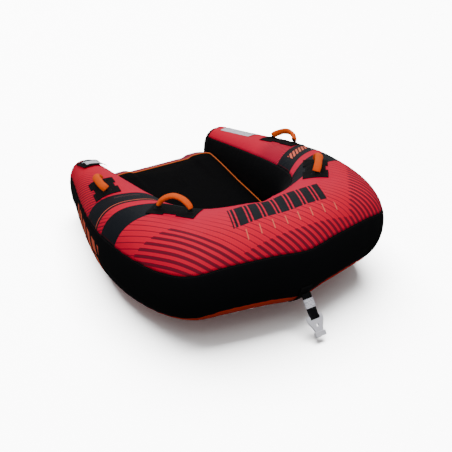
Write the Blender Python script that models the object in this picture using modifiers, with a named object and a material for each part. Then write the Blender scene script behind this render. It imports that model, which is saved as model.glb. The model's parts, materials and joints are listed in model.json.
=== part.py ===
"""Two-rider towable tube: a U-shaped hull round an inflated seat, grab handles and a tow strap.

Metres, +Z up. The bow points along -Y, the two arms run back along +Y, and the part rests on
Z = 0. The hull is mirror-symmetric about X = 0. A place on the hull is a station t and an angle:
t runs from the left arm's end (-1) through the bow (0) to the right arm's end (+1), then over a
rounded end (|t| up to 2); the angle is 0 on the outer side, 90 on top and 180 on the inner side.
"""
import math

import bmesh
import bpy
import numpy as np
from mathutils import Matrix, Vector
from mathutils.bvhtree import BVHTree

# --- Hull: one value per key station, from the bow's centre to an arm's end ---
KEYS = (0.0, 0.12, 0.25, 0.38, 0.5, 0.62, 0.74, 0.87, 1.0)
OUTER_X = (0.0, 0.186, 0.409, 0.577, 0.669, 0.732, 0.750, 0.692, 0.580)
OUTER_Y = (-0.872, -0.847, -0.803, -0.743, -0.605, -0.386, -0.097, 0.246, 0.677)
INNER_X = (0.0, 0.064, 0.154, 0.234, 0.291, 0.322, 0.338, 0.351, 0.363)
INNER_Y = (-0.399, -0.390, -0.354, -0.292, -0.219, -0.138, 0.016, 0.287, 0.651)
CREST_Z = (0.567, 0.573, 0.566, 0.557, 0.550, 0.533, 0.509, 0.459, 0.387)
KEEL_Z = (0.076, 0.086, 0.082, 0.056, 0.032, 0.016, 0.006, 0.0, 0.0)
OUTER_SEAM = (23.9, 24.8, 25.0, 21.3, 19.0, 20.9, 21.7, 22.8, 25.0)
KEEL_SEAM_OUT = (323.0, 326.0, 327.0, 321.0, 315.0, 312.0, 310.0, 310.0, 310.0)
INNER_SEAM = 137.4
KEEL_SEAM_IN = 232.0
WIDEST_AT = 0.554
UPPER_POWER = 2.49
LOWER_POWER = (2.26, 2.19, 2.11, 2.03, 1.96, 1.96, 1.96, 1.96, 1.96)
END_LENGTH = 0.130
END_POWER = 2.6
END_SCALE_MIN = 0.02

# --- Sheet goods ---
PVC = 0.0008
COVER = 0.0010
LAYER_GAP = 0.0004
SKIN = COVER + LAYER_GAP
SEAM_GAP_DEG = 0.12
SEAM_GAP_T = 0.004

# --- Hull mesh ---
KEY_STEPS = (2, 2, 2, 2, 2, 2, 3, 3)
END_STATIONS = (0.35, 0.65, 0.85, 0.96)
TOP_COLUMNS = 8
INNER_COLUMNS = 5
KEEL_COLUMNS = 5
OUTER_COLUMNS = 5

# --- Seat ---
SEAT_CLEARANCE = 0.006
SEAT_STATIONS = 12
SEAT_LAST_KEY = 0.94
SEAT_REAR_Y = 0.745
SEAT_CORNER = 0.100
SEAT_CORNER_STEPS = 4
SEAT_TOP_Z = 0.209
SEAT_TOP_SLOPE = 0.072
SEAT_SIDE_INSET = 0.022
SEAT_REAR_INSET = 0.115
SEAT_REAR_START_Y = 0.350
PIPING_RADIUS = 0.003
PIPING_GAP = 0.0006

# --- Handles: plan position of the middle, heading from the Y axis, and lean at rest ---
HANDLES = {
    "left_rear_handle": (-0.570, 0.175, 12.0, 27.0),
    "right_rear_handle": (0.573, 0.152, -12.0, -45.0),
    "left_front_handle": (-0.431, -0.345, -38.0, -5.0),
    "right_front_handle": (0.431, -0.345, 38.0, -20.0),
}
HANDLE_SPAN = 0.170
HANDLE_RISE = 0.061
ARCH_POWER = 1.75
STRAP_RADIUS = 0.007
GRIP_HALF_DEPTH = 0.0140
GRIP_WIDENING = 1.55
GRIP_BORE = 0.0076
GRIP_START_DEG = 20.0
GRIP_STEPS = 13
GRIP_SIDES = 10
FOOT_CLEARANCE = 0.001
PATCH_LENGTH = 0.250
PATCH_WIDTH = 0.132
PATCH_WAIST = 0.106
PATCH_BAR = 0.092
PATCH_THICKNESS = 0.0025
PATCH_LIFT = 0.0020
PATCH_STEP = 0.015

# --- Tow strap and quick connector ---
TOW_ANGLE = -29.0
TOW_STANDOFF = 0.0135
TOW_PITCH_DEG = 50.4
WEBBING_WIDTH = 0.050
WEBBING_THICKNESS = 0.003
STRAP_LENGTH = 0.118
TOW_LABEL_START = 0.024
TOW_LABEL_LENGTH = 0.046
SLEEVE_GAP = 0.0004
SLEEVE_WALL = 0.0012
BAR_RADIUS = 0.0045
LOOP_GAP = 0.0012
CONNECTOR_HALF_WIDTH = 0.046
CONNECTOR_THICKNESS = 0.009
CONNECTOR_LENGTH = 0.094
EAR_NOTCH = 0.0275
HOLE_RADIUS = 0.0085
HOLE_AT = 0.040
FOOT_HALF_WIDTH = 0.029
FOOT_LENGTH = 0.022
FOOT_THICKNESS = 0.017
TOW_PATCH_HALF_WIDTH = 0.036
TOW_PATCH_ANGLES = (-62.0, -18.0)

# --- Valve and its flap, on the left arm near its end ---
VALVE_STATIONS = (0.976, 0.990)
VALVE_ANGLE = 82.0
NECK_RADIUS = 0.013
BORE_RADIUS = 0.009
FLANGE_RADIUS = 0.023
CAP_RADIUS = 0.017
FLAP_CENTRE = (-0.462, 0.621)
FLAP_SIZE = (0.130, 0.128)
FLAP_THICKNESS = 0.003
FLAP_RISE = 0.021
FLAP_PITCH_DEG = -4.0

# --- Seat valve and zip, in the seat's rear wall ---
WALL_LOW_Z = 0.055
WALL_HIGH_Z = 0.105
SEAT_VALVE_X = 0.200
SEAT_VALVE_HALF = 0.020
ZIP_START_X = -0.250
ZIP_LENGTH = 0.380
ZIP_HALF_HEIGHT = 0.015
ZIP_THICKNESS = 0.0016
TEETH_HALF_HEIGHT = 0.003
TEETH_THICKNESS = 0.0028
SLIDER_START = 0.030
SLIDER_SIZE = (0.014, 0.005, 0.012)
PULL_SIZE = (0.034, 0.0016, 0.010)

COLOURS = {
    "crimson": ((0.72, 0.012, 0.045), 0.75, 0.0),
    "black_cover": ((0.008, 0.008, 0.011), 0.85, 0.0),
    "keel_orange": ((0.62, 0.035, 0.012), 0.7, 0.0),
    "bladder_pvc": ((0.10, 0.11, 0.13), 0.4, 0.0),
    "seat_black": ((0.006, 0.006, 0.008), 0.9, 0.0),
    "seat_maroon": ((0.30, 0.008, 0.035), 0.8, 0.0),
    "piping_orange": ((0.95, 0.19, 0.02), 0.55, 0.0),
    "webbing_black": ((0.012, 0.012, 0.014), 0.9, 0.0),
    "grip_orange": ((0.95, 0.16, 0.015), 0.7, 0.0),
    "label_white": ((0.75, 0.73, 0.85), 0.6, 0.0),
    "plastic_white": ((0.78, 0.77, 0.86), 0.35, 0.0),
    "plastic_black": ((0.02, 0.02, 0.022), 0.35, 0.0),
    "zip_metal": ((0.35, 0.35, 0.37), 0.35, 1.0),
}


# ---------------------------------------------------------------- scene helpers
def start_scene():
    """Empty the scene and make the part's collection."""
    for old in list(bpy.data.objects):
        bpy.data.objects.remove(old, do_unlink=True)
    collection = bpy.data.collections.new("towable_tube")
    bpy.context.scene.collection.children.link(collection)
    return collection


def material(name):
    """The named Principled material, made the first time it is asked for."""
    found = bpy.data.materials.get(name)
    if found:
        return found
    colour, roughness, metallic = COLOURS[name]
    made = bpy.data.materials.new(name)
    made.use_nodes = True
    shader = made.node_tree.nodes["Principled BSDF"]
    shader.inputs["Base Color"].default_value = (*colour, 1.0)
    shader.inputs["Roughness"].default_value = roughness
    shader.inputs["Metallic"].default_value = metallic
    return made


def add_object(name, data, finish, parent=None):
    """Link an object into the part's collection, with its finish and parent."""
    made = bpy.data.objects.new(name, data)
    bpy.data.collections["towable_tube"].objects.link(made)
    data.materials.append(material(finish))
    if parent:
        made.parent = parent
    return made


def add_mesh(name, points, faces, finish, parent=None):
    """A mesh object from points and faces, with its faces turned outward."""
    mesh = bpy.data.meshes.new(name)
    mesh.from_pydata([tuple(p) for p in points], [], faces)
    shape = bmesh.new()
    shape.from_mesh(mesh)
    bmesh.ops.recalc_face_normals(shape, faces=shape.faces)
    shape.to_mesh(mesh)
    shape.free()
    return add_object(name, mesh, finish, parent)


def add_empty(name, place, rotation=None):
    """An empty that carries a moving piece on its joint's axis."""
    made = bpy.data.objects.new(name, None)
    bpy.data.collections["towable_tube"].objects.link(made)
    turn = rotation.to_4x4() if rotation else Matrix()
    made.matrix_world = Matrix.Translation(Vector(place)) @ turn
    return made


def solidify(target, thickness, gap=0.0, outward=True):
    """Give an open surface a thickness, starting a gap away from it."""
    shell = target.modifiers.new("thickness", "SOLIDIFY")
    shell.thickness = thickness
    reach = 1.0 + 2.0 * gap / thickness
    shell.offset = reach if outward else -reach
    shell.use_even_offset = True
    return shell


def face_away_from(target, centre):
    """Turn an open surface's faces so that its middle one looks away from a point inside."""
    shape = bmesh.new()
    shape.from_mesh(target.data)
    middle = shape.faces[:][len(shape.faces) // 2]
    if middle.normal.dot(middle.calc_center_median() - Vector(centre)) < 0:
        bmesh.ops.reverse_faces(shape, faces=shape.faces)
    shape.to_mesh(target.data)
    shape.free()


# ---------------------------------------------------------------- hull surface
def along(values, q, odd=False):
    """Smooth curve through one value per key station; odd changes sign across the bow."""
    keys = np.array((-KEYS[1],) + KEYS)
    levels = np.array((-values[1] if odd else values[1],) + tuple(values))
    slopes = np.gradient(levels, keys)
    k = int(np.clip(np.searchsorted(keys, q, side="right") - 1, 0, len(keys) - 2))
    width = keys[k + 1] - keys[k]
    s = (q - keys[k]) / width
    start = (2 * s**3 - 3 * s**2 + 1) * levels[k] + (s**3 - 2 * s**2 + s) * slopes[k] * width
    end = (3 * s**2 - 2 * s**3) * levels[k + 1] + (s**3 - s**2) * slopes[k + 1] * width
    return float(start + end)


def outlines(q):
    """The hull's outer and inner plan points on the right half."""
    outer = Vector((along(OUTER_X, q, odd=True), along(OUTER_Y, q)))
    inner = Vector((along(INNER_X, q, odd=True), along(INNER_Y, q)))
    return outer, inner


def end_heading():
    """Direction in plan in which the right arm runs at its end."""
    near = sum(outlines(0.98), Vector((0, 0)))
    far = sum(outlines(1.0), Vector((0, 0)))
    return (far - near).normalized()


def hull_point(t, angle):
    """A point on the surface that the bladder's outside follows."""
    q = min(abs(t), 1.0)
    dome = max(abs(t) - 1.0, 0.0)
    scale = max(math.sqrt(max(0.0, 1.0 - dome**END_POWER)), END_SCALE_MIN)
    outer, inner = outlines(q)
    half = (outer - inner) / 2
    half = half * (1.0 - SKIN / half.length) * scale
    centre = (outer + inner) / 2 + end_heading() * (END_LENGTH * dome)
    low = along(KEEL_Z, q) + SKIN
    high = along(CREST_Z, q) - SKIN
    widest = low + (high - low) * WIDEST_AT
    cosine = math.cos(math.radians(angle))
    sine = math.sin(math.radians(angle))
    power = UPPER_POWER if sine >= 0 else along(LOWER_POWER, q)
    reach = math.copysign(abs(cosine) ** (2 / power), cosine)
    lift = math.copysign(abs(sine) ** (2 / power), sine)
    height = (high - widest) if sine >= 0 else (widest - low)
    plan = centre + half * reach
    side = 1.0 if t >= 0 else -1.0
    return Vector((side * plan.x, plan.y, widest + height * lift * scale))


def hull_columns(t):
    """Angles of the mesh columns round the hull at a station; the first four runs are panels."""
    q = min(abs(t), 1.0)
    outer = along(OUTER_SEAM, q)
    keel_out = along(KEEL_SEAM_OUT, q)
    return np.concatenate([
        np.linspace(outer, INNER_SEAM, TOP_COLUMNS, endpoint=False),
        np.linspace(INNER_SEAM, KEEL_SEAM_IN, INNER_COLUMNS, endpoint=False),
        np.linspace(KEEL_SEAM_IN, keel_out, KEEL_COLUMNS, endpoint=False),
        np.linspace(keel_out, 360.0 + outer, OUTER_COLUMNS + 1),
    ])


def tube_stations():
    """Stations along the tube between the two arms' ends, with a pair that frames the valve."""
    half = {0.0, *VALVE_STATIONS}
    for low, high, steps in zip(KEYS, KEYS[1:], KEY_STEPS):
        half.update(low + (high - low) * k / steps for k in range(1, steps + 1))
    right = sorted(half)
    return [-t for t in reversed(right[1:])] + right


def bladder_stations():
    """Every ring of the closed bladder; its poles are left out."""
    ends = [1.0 + s for s in END_STATIONS]
    return [-t for t in reversed(ends)] + tube_stations() + ends


def panel_stations():
    """Rings of the cover's long panels, which stop one ring past each arm's end."""
    first_end = 1.0 + END_STATIONS[0] - SEAM_GAP_T
    return [-first_end] + tube_stations() + [first_end]


def hull_centre(t):
    """Middle of the hull's section at a station."""
    return (hull_point(t, 0.0) + hull_point(t, 180.0)) / 2


def grid_faces(rows, columns, closed=False, skip=()):
    """Quads over a grid of points, row by row; closed joins the last column to the first."""
    faces = []
    last = columns if closed else columns - 1
    for row in range(rows - 1):
        for column in range(last):
            if (row, column) in skip:
                continue
            near = row * columns
            far = near + columns
            right = (column + 1) % columns
            faces.append((near + column, near + right, far + right, far + column))
    return faces


def valve_cell():
    """Row and column of the bladder's mesh cell that the valve passes through."""
    row = bladder_stations().index(-VALVE_STATIONS[1])
    columns = hull_columns(-VALVE_STATIONS[1])
    column = max(k for k, angle in enumerate(columns) if angle <= VALVE_ANGLE)
    return row, column


def make_main_bladder():
    """The U-shaped air chamber, open only at its valve."""
    stations = bladder_stations()
    columns = TOP_COLUMNS + INNER_COLUMNS + KEEL_COLUMNS + OUTER_COLUMNS
    points = [hull_point(t, angle) for t in stations for angle in hull_columns(t)[:columns]]
    faces = grid_faces(len(stations), columns, closed=True, skip=(valve_cell(),))
    for pole, row in ((-2.0, 0), (2.0, len(stations) - 1)):
        points.append(hull_point(pole, 0.0))
        tip = len(points) - 1
        faces += [(tip, row * columns + k, row * columns + (k + 1) % columns) for k in range(columns)]
    bladder = add_mesh("main_bladder", points, faces, "bladder_pvc")
    face_away_from(bladder, hull_centre(0.0))
    solidify(bladder, PVC, outward=False)


def make_hull_panel(name, first, last, finish):
    """One cover panel between two seam columns, cut back a little at every seam."""
    stations = panel_stations()
    points = []
    for t in stations:
        angles = list(hull_columns(t)[first:last + 1])
        angles[0] += SEAM_GAP_DEG
        angles[-1] -= SEAM_GAP_DEG
        points += [hull_point(t, angle) for angle in angles]
    columns = last - first + 1
    skip = ()
    row, column = valve_cell()
    if first <= column < last:
        skip = ((row - len(END_STATIONS) + 1, column - first),)
    panel = add_mesh(name, points, grid_faces(len(stations), columns, skip=skip), finish)
    face_away_from(panel, hull_centre(0.0))
    solidify(panel, COVER, LAYER_GAP)


def make_end_panel(name, side):
    """The rounded panel that closes the cover over an arm's end."""
    stations = [1.0 + END_STATIONS[0] + SEAM_GAP_T] + [1.0 + s for s in END_STATIONS[1:]]
    columns = TOP_COLUMNS + INNER_COLUMNS + KEEL_COLUMNS + OUTER_COLUMNS
    points = [hull_point(side * t, angle) for t in stations for angle in hull_columns(t)[:columns]]
    faces = grid_faces(len(stations), columns, closed=True)
    points.append(hull_point(side * 2.0, 0.0))
    last = (len(stations) - 1) * columns
    faces += [(len(points) - 1, last + k, last + (k + 1) % columns) for k in range(columns)]
    panel = add_mesh(name, points, faces, "black_cover")
    face_away_from(panel, hull_centre(side))
    solidify(panel, COVER, LAYER_GAP)


def make_hull():
    """Bladder and the six panels of its cover. The top panel carries the valve's opening."""
    make_main_bladder()
    seams = np.cumsum([0, TOP_COLUMNS, INNER_COLUMNS, KEEL_COLUMNS, OUTER_COLUMNS])
    make_hull_panel("top_panel", seams[0], seams[1], "crimson")
    make_hull_panel("inner_side_panel", seams[1], seams[2], "black_cover")
    make_hull_panel("keel_panel", seams[2], seams[3], "keel_orange")
    make_hull_panel("outer_side_panel", seams[3], seams[4], "black_cover")
    make_end_panel("left_end_panel", -1.0)
    make_end_panel("right_end_panel", 1.0)


# ---------------------------------------------------------------- seat
def seat_outline():
    """Widest plan outline of the seat, from the bow's centre round the right side to the rear."""
    half = []
    for q in np.linspace(0.0, SEAT_LAST_KEY, SEAT_STATIONS):
        _, inner = outlines(q)
        _, ahead = outlines(q + 0.01)
        _, behind = outlines(abs(q - 0.01))
        run = (ahead - behind).normalized() if q else Vector((1.0, 0.0))
        half.append(inner + Vector((-run.y, run.x)) * SEAT_CLEARANCE)
    corner = Vector((half[-1].x - SEAT_CORNER, SEAT_REAR_Y - SEAT_CORNER))
    for step in range(SEAT_CORNER_STEPS + 1):
        turn = math.radians(90.0 * step / SEAT_CORNER_STEPS)
        half.append(corner + Vector((math.cos(turn), math.sin(turn))) * SEAT_CORNER)
    for x in (SEAT_VALVE_X + SEAT_VALVE_HALF, SEAT_VALVE_X - SEAT_VALVE_HALF, 0.0):
        half.append(Vector((x, SEAT_REAR_Y)))
    left = [Vector((-p.x, p.y)) for p in reversed(half[1:-1])]
    return half + left


def seat_top(y):
    """Height of the seat's top, which rises towards the rear."""
    return SEAT_TOP_Z + SEAT_TOP_SLOPE * y


def seat_ring(share, height, extra=0.0):
    """The outline drawn in by a share of its rim's insets, at a height that may depend on y."""
    outline = seat_outline()
    count = len(outline)
    ring = []
    for k, point in enumerate(outline):
        run = (outline[(k + 1) % count] - outline[k - 1]).normalized()
        plan = point + Vector((-run.y, run.x)) * (SEAT_SIDE_INSET * share + extra)
        rearward = max(0.0, point.y - SEAT_REAR_START_Y) / (SEAT_REAR_Y - SEAT_REAR_START_Y)
        plan.y -= (SEAT_REAR_INSET - SEAT_SIDE_INSET) * share * rearward**2
        ring.append(Vector((plan.x, plan.y, height(plan.y))))
    return ring


def seat_rim_height(y):
    """Height of the bladder's top face."""
    return seat_top(y) - SKIN


def seat_rings():
    """Rings of the seat's skin, from its flat base up to the piping."""
    return [
        seat_ring(0.90, lambda y: SKIN),
        seat_ring(0.15, lambda y: 0.020),
        seat_ring(0.0, lambda y: WALL_LOW_Z),
        seat_ring(0.0, lambda y: WALL_HIGH_Z),
        seat_ring(0.05, lambda y: seat_top(y) - 0.060),
        seat_ring(0.40, lambda y: seat_top(y) - 0.016),
        seat_ring(1.0, seat_rim_height),
    ]


def seat_valve_cell():
    """Row and column of the seat skin's cell that its valve passes through."""
    return 2, SEAT_STATIONS + SEAT_CORNER_STEPS + 1


def make_skin(name, rings, finish, bottom=False, top=False, skip=()):
    """A band of skin through closed rings, with flat caps where asked."""
    count = len(rings[0])
    points = [p for ring in rings for p in ring]
    faces = grid_faces(len(rings), count, closed=True, skip=skip)
    if bottom:
        faces.append(tuple(range(count)))
    if top:
        faces.append(tuple(range(len(points) - count, len(points))))
    made = add_mesh(name, points, faces, finish)
    face_away_from(made, (0.0, 0.2, 0.1))
    return made


def make_seat():
    """Seat bladder, its three cover panels, and the piping round its top."""
    rings = seat_rings()
    hole = (seat_valve_cell(),)
    bladder = make_skin("seat_bladder", rings, "bladder_pvc", bottom=True, top=True, skip=hole)
    solidify(bladder, PVC, outward=False)
    base_ring = seat_ring(0.90, lambda y: SKIN, extra=PIPING_GAP)
    base = make_skin("seat_base_panel", [base_ring], "black_cover", bottom=True)
    solidify(base, COVER, LAYER_GAP)
    side = make_skin("seat_side_panel", rings, "seat_maroon", skip=hole)
    solidify(side, COVER, LAYER_GAP)
    top_ring = seat_ring(1.0, seat_rim_height, extra=PIPING_GAP)
    top = make_skin("seat_top_panel", [top_ring], "seat_black", top=True)
    solidify(top, COVER, LAYER_GAP)
    lift = Vector((0.0, 0.0, SKIN + PIPING_RADIUS + PIPING_GAP))
    make_piping("seat_piping", [p + lift for p in rings[-1]])


def make_piping(name, route):
    """A closed run of round piping."""
    curve = bpy.data.curves.new(name, "CURVE")
    curve.dimensions = "3D"
    curve.bevel_depth = PIPING_RADIUS
    curve.bevel_resolution = 1
    spline = curve.splines.new("POLY")
    spline.points.add(len(route) - 1)
    for point, place in zip(spline.points, route):
        point.co = (*place, 1.0)
    spline.use_cyclic_u = True
    add_object(name, curve, "piping_orange")


# ---------------------------------------------------------------- pieces sewn on the hull
def cover_surface():
    """A search tree over the top panel's outer face."""
    bpy.context.view_layer.update()
    graph = bpy.context.evaluated_depsgraph_get()
    return BVHTree.FromObject(bpy.data.objects["top_panel"], graph)


def drop_to_cover(tree, x, y):
    """The point and normal of the cover straight below a plan position."""
    place, normal, _, _ = tree.ray_cast(Vector((x, y, 1.0)), Vector((0.0, 0.0, -1.0)))
    return place, normal


def split_span(length, bar):
    """Steps along a patch, with a line at the inner edge of each end bar."""
    edge = length / 2
    inner = edge - bar
    steps = max(2, round(2 * inner / PATCH_STEP))
    bars = max(2, round(bar / PATCH_STEP))
    return np.concatenate([
        np.linspace(-edge, -inner, bars, endpoint=False),
        np.linspace(-inner, inner, steps, endpoint=False),
        np.linspace(inner, edge, bars + 1),
    ])


def make_patch(name, tree, centre, heading):
    """A notched patch that lies on the cover under a handle."""
    spans = split_span(PATCH_LENGTH, PATCH_BAR)
    widths = split_span(PATCH_WIDTH, (PATCH_WIDTH - PATCH_WAIST) / 2)
    turn = math.radians(heading)
    run = Vector((-math.sin(turn), -math.cos(turn)))
    across = Vector((-run.y, run.x))
    lift = PATCH_LIFT + PATCH_THICKNESS / 2
    points = []
    for span in spans:
        for width in widths:
            plan = Vector(centre) + run * span + across * width
            place, normal = drop_to_cover(tree, plan.x, plan.y)
            points.append(place + normal * lift)
    inner_span = PATCH_LENGTH / 2 - PATCH_BAR
    notch = []
    for row in range(len(spans) - 1):
        for column in range(len(widths) - 1):
            span = (spans[row] + spans[row + 1]) / 2
            width = (widths[column] + widths[column + 1]) / 2
            if abs(span) < inner_span and abs(width) > PATCH_WAIST / 2:
                notch.append((row, column))
    patch = add_mesh(name, points, grid_faces(len(spans), len(widths), skip=notch), "webbing_black")
    shell = patch.modifiers.new("thickness", "SOLIDIFY")
    shell.thickness = PATCH_THICKNESS
    shell.offset = 0.0


def arch_frame(tree, centre, heading):
    """Place and axes of a handle: X across it, Y along its feet, Z away from the cover."""
    turn = math.radians(heading)
    run = Vector((-math.sin(turn), -math.cos(turn))) * (HANDLE_SPAN / 2)
    raised = PATCH_LIFT + PATCH_THICKNESS + FOOT_CLEARANCE + STRAP_RADIUS
    feet = []
    for sign in (-1.0, 1.0):
        place, normal = drop_to_cover(tree, centre[0] + sign * run.x, centre[1] + sign * run.y)
        feet.append(place + normal * raised)
    _, up = drop_to_cover(tree, *centre)
    along_feet = (feet[1] - feet[0]).normalized()
    across = along_feet.cross(up).normalized()
    away = across.cross(along_feet)
    turned = Matrix((across, along_feet, away)).transposed()
    return (feet[0] + feet[1]) / 2, turned, (feet[1] - feet[0]).length


def arch_route(span, first, last, steps):
    """Points on a pointed half-ellipse between two angles, in the handle's own axes."""
    route = []
    for angle in np.linspace(math.radians(first), math.radians(last), steps):
        reach = abs(math.cos(angle)) ** (2 / ARCH_POWER)
        rise = abs(math.sin(angle)) ** (2 / ARCH_POWER)
        route.append(Vector((0.0, -math.copysign(reach, math.cos(angle)) * span / 2, rise * HANDLE_RISE)))
    return route


def tube_rings(route, radii, sides, widening=1.0):
    """Rings of points round a route in the local YZ plane, wider across it by a factor."""
    rings = []
    for k, place in enumerate(route):
        run = (route[min(k + 1, len(route) - 1)] - route[max(k - 1, 0)]).normalized()
        out = Vector((0.0, -run.z, run.y))
        ring = []
        for step in range(sides):
            turn = 2 * math.pi * step / sides
            wide = Vector((math.sin(turn) * widening, 0.0, 0.0))
            ring.append(place + (out * math.cos(turn) + wide) * radii[k])
        rings.append(ring)
    return rings


def make_handle_strap(name, span, parent):
    """The folded webbing core of a handle, with rounded feet centred on its axis."""
    route = arch_route(span, 0.0, 180.0, 17)
    drop = Vector((0.0, 0.0, STRAP_RADIUS * 0.8))
    route = [route[0] - drop] + route + [route[-1] - drop]
    radii = [STRAP_RADIUS * 0.5] + [STRAP_RADIUS] * 17 + [STRAP_RADIUS * 0.5]
    sides = 8
    rings = tube_rings(route, radii, sides)
    points = [p for ring in rings for p in ring]
    faces = grid_faces(len(rings), sides, closed=True)
    faces.append(tuple(range(sides)))
    faces.append(tuple(range(len(points) - sides, len(points))))
    add_mesh(name, points, faces, "webbing_black", parent)


def make_grip(name, span, parent):
    """A flattened foam sleeve with a round bore, slid over the middle of a handle's webbing."""
    route = arch_route(span, GRIP_START_DEG, 180.0 - GRIP_START_DEG, GRIP_STEPS)
    outer = tube_rings(route, [GRIP_HALF_DEPTH] * GRIP_STEPS, GRIP_SIDES, GRIP_WIDENING)
    bore = tube_rings(route, [GRIP_BORE] * GRIP_STEPS, GRIP_SIDES)
    rings = outer + list(reversed(bore))
    points = [p for ring in rings for p in ring]
    faces = grid_faces(len(rings), GRIP_SIDES, closed=True)
    last = (len(rings) - 1) * GRIP_SIDES
    for k in range(GRIP_SIDES):
        following = (k + 1) % GRIP_SIDES
        faces.append((last + k, last + following, following, k))
    add_mesh(name, points, faces, "grip_orange", parent)


def make_handles(tree):
    """Four handles: each a patch on the hull, and a webbing loop with its grip on an axis."""
    for name, (x, y, heading, lean) in HANDLES.items():
        make_patch(name + "_patch", tree, (x, y), heading)
        place, axes, span = arch_frame(tree, (x, y), heading)
        leaned = axes @ Matrix.Rotation(math.radians(lean), 3, "Y")
        axis = add_empty(name + "_axis", place, leaned)
        make_handle_strap(name + "_strap", span, axis)
        make_grip(name + "_grip", span, axis)


def flat_shape(name, loops, thickness, finish, parent=None):
    """A flat outline, with any holes, given a thickness along its local Z."""
    curve = bpy.data.curves.new(name, "CURVE")
    curve.dimensions = "2D"
    curve.fill_mode = "BOTH"
    curve.extrude = thickness / 2
    for loop in loops:
        spline = curve.splines.new("POLY")
        spline.points.add(len(loop) - 1)
        for point, (x, y) in zip(spline.points, loop):
            point.co = (x, y, 0.0, 1.0)
        spline.use_cyclic_u = True
    return add_object(name, curve, finish, parent)


def box_loop(x_low, y_low, x_high, y_high):
    """The four corners of a rectangle."""
    return [(x_low, y_low), (x_high, y_low), (x_high, y_high), (x_low, y_high)]


def arc(centre, radius, first, last, steps):
    """Points along a circular arc, in degrees."""
    turns = np.radians(np.linspace(first, last, steps))
    return [(centre[0] + radius * math.cos(a), centre[1] + radius * math.sin(a)) for a in turns]


# ---------------------------------------------------------------- tow strap and connector
def make_tow_patch():
    """The black patch at the foot of the bow that the tow strap is sewn to."""
    points = []
    angles = np.linspace(*TOW_PATCH_ANGLES, 9)
    shares = (-1.0, -0.5, 0.0, 0.5, 1.0)
    lift = SKIN + PATCH_LIFT + PATCH_THICKNESS / 2
    for angle in angles:
        place, normal = hull_normal(0.0, angle)
        for share in shares:
            points.append(place + normal * lift + Vector((share * TOW_PATCH_HALF_WIDTH, 0.0, 0.0)))
    patch = add_mesh("tow_patch", points, grid_faces(len(angles), len(shares)), "webbing_black")
    shell = patch.modifiers.new("thickness", "SOLIDIFY")
    shell.thickness = PATCH_THICKNESS
    shell.offset = 0.0


def hull_normal(t, angle):
    """A point on the hull's surface and the direction straight away from it."""
    place = hull_point(t, angle)
    along_hull = hull_point(t + 0.002, angle) - hull_point(t - 0.002, angle)
    around = hull_point(t, angle + 0.5) - hull_point(t, angle - 0.5)
    normal = along_hull.cross(around).normalized()
    if normal.dot(place - hull_centre(t)) < 0:
        normal = -normal
    return place, normal


def make_tow_strap():
    """Doubled webbing from the bow to a sewn loop round the connector's bar, with its label."""
    place, normal = hull_normal(0.0, TOW_ANGLE)
    pitch = math.radians(TOW_PITCH_DEG)
    down = Vector((0.0, -math.cos(pitch), -math.sin(pitch)))
    face = Vector((0.0, -math.sin(pitch), math.cos(pitch)))
    left = Vector((-1.0, 0.0, 0.0))
    hull_axis = add_empty("tow_strap_axis", place + normal * TOW_STANDOFF)
    hull_axis.matrix_world = hull_axis.matrix_world @ Matrix((left, down, face)).transposed().to_4x4()
    half = WEBBING_THICKNESS
    bore = BAR_RADIUS + LOOP_GAP
    ring = bore + WEBBING_THICKNESS
    open_turn = math.degrees(math.asin(half / ring))
    outline = arc((STRAP_LENGTH, 0.0), ring, 180.0 - open_turn, open_turn - 180.0, 17)
    outline += arc((0.0, 0.0), half, 270.0, 90.0, 7)
    webbing = flat_shape(
        "tow_strap", [outline, arc((STRAP_LENGTH, 0.0), bore, 0.0, 337.5, 16)],
        WEBBING_WIDTH, "webbing_black", hull_axis)
    webbing.rotation_euler = Matrix(((0, 0, 1), (1, 0, 0), (0, 1, 0))).to_euler()
    inner = (WEBBING_WIDTH / 2 + SLEEVE_GAP, half + SLEEVE_GAP)
    outer = (inner[0] + SLEEVE_WALL, inner[1] + SLEEVE_WALL)
    sleeve = flat_shape(
        "tow_strap_label", [box_loop(-outer[0], -outer[1], *outer), box_loop(-inner[0], -inner[1], *inner)],
        TOW_LABEL_LENGTH, "label_white", hull_axis)
    sleeve.rotation_euler = (math.pi / 2, 0.0, 0.0)
    sleeve.location = (0.0, TOW_LABEL_START + TOW_LABEL_LENGTH / 2, 0.0)
    bar_axis = add_empty("tow_connector_axis", (0.0, 0.0, 0.0))
    bar_axis.parent = hull_axis
    bar_axis.matrix_local = Matrix.Translation((0.0, STRAP_LENGTH, 0.0))
    make_connector(bar_axis)


def connector_half_outline():
    """Right half of the connector's plate, from its notch round to the middle of its foot end."""
    wide = CONNECTOR_HALF_WIDTH
    notch_floor = 0.0115
    points = [(EAR_NOTCH, notch_floor), (EAR_NOTCH, -0.010)]
    points += arc((wide - 0.010, 0.0), 0.010, -90.0, 0.0, 4)
    points += [(wide, 0.012), (wide - 0.006, 0.026), (0.027, 0.052), (0.023, 0.066)]
    points += [(FOOT_HALF_WIDTH - 0.004, CONNECTOR_LENGTH - FOOT_LENGTH + 0.002)]
    points += [(FOOT_HALF_WIDTH - 0.004, CONNECTOR_LENGTH - 0.002)]
    return points


def join_solid(target, tool):
    """Weld a tool solid onto a target with an exact union, and hide the tool."""
    weld = target.modifiers.new("weld", "BOOLEAN")
    weld.operation = "UNION"
    weld.solver = "EXACT"
    weld.object = tool
    tool.hide_render = True
    tool.display_type = "WIRE"
    cutters = bpy.data.collections.get("cutters") or bpy.data.collections.new("cutters")
    if cutters.name not in bpy.context.scene.collection.children:
        bpy.context.scene.collection.children.link(cutters)
    bpy.data.collections["towable_tube"].objects.unlink(tool)
    cutters.objects.link(tool)


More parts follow.
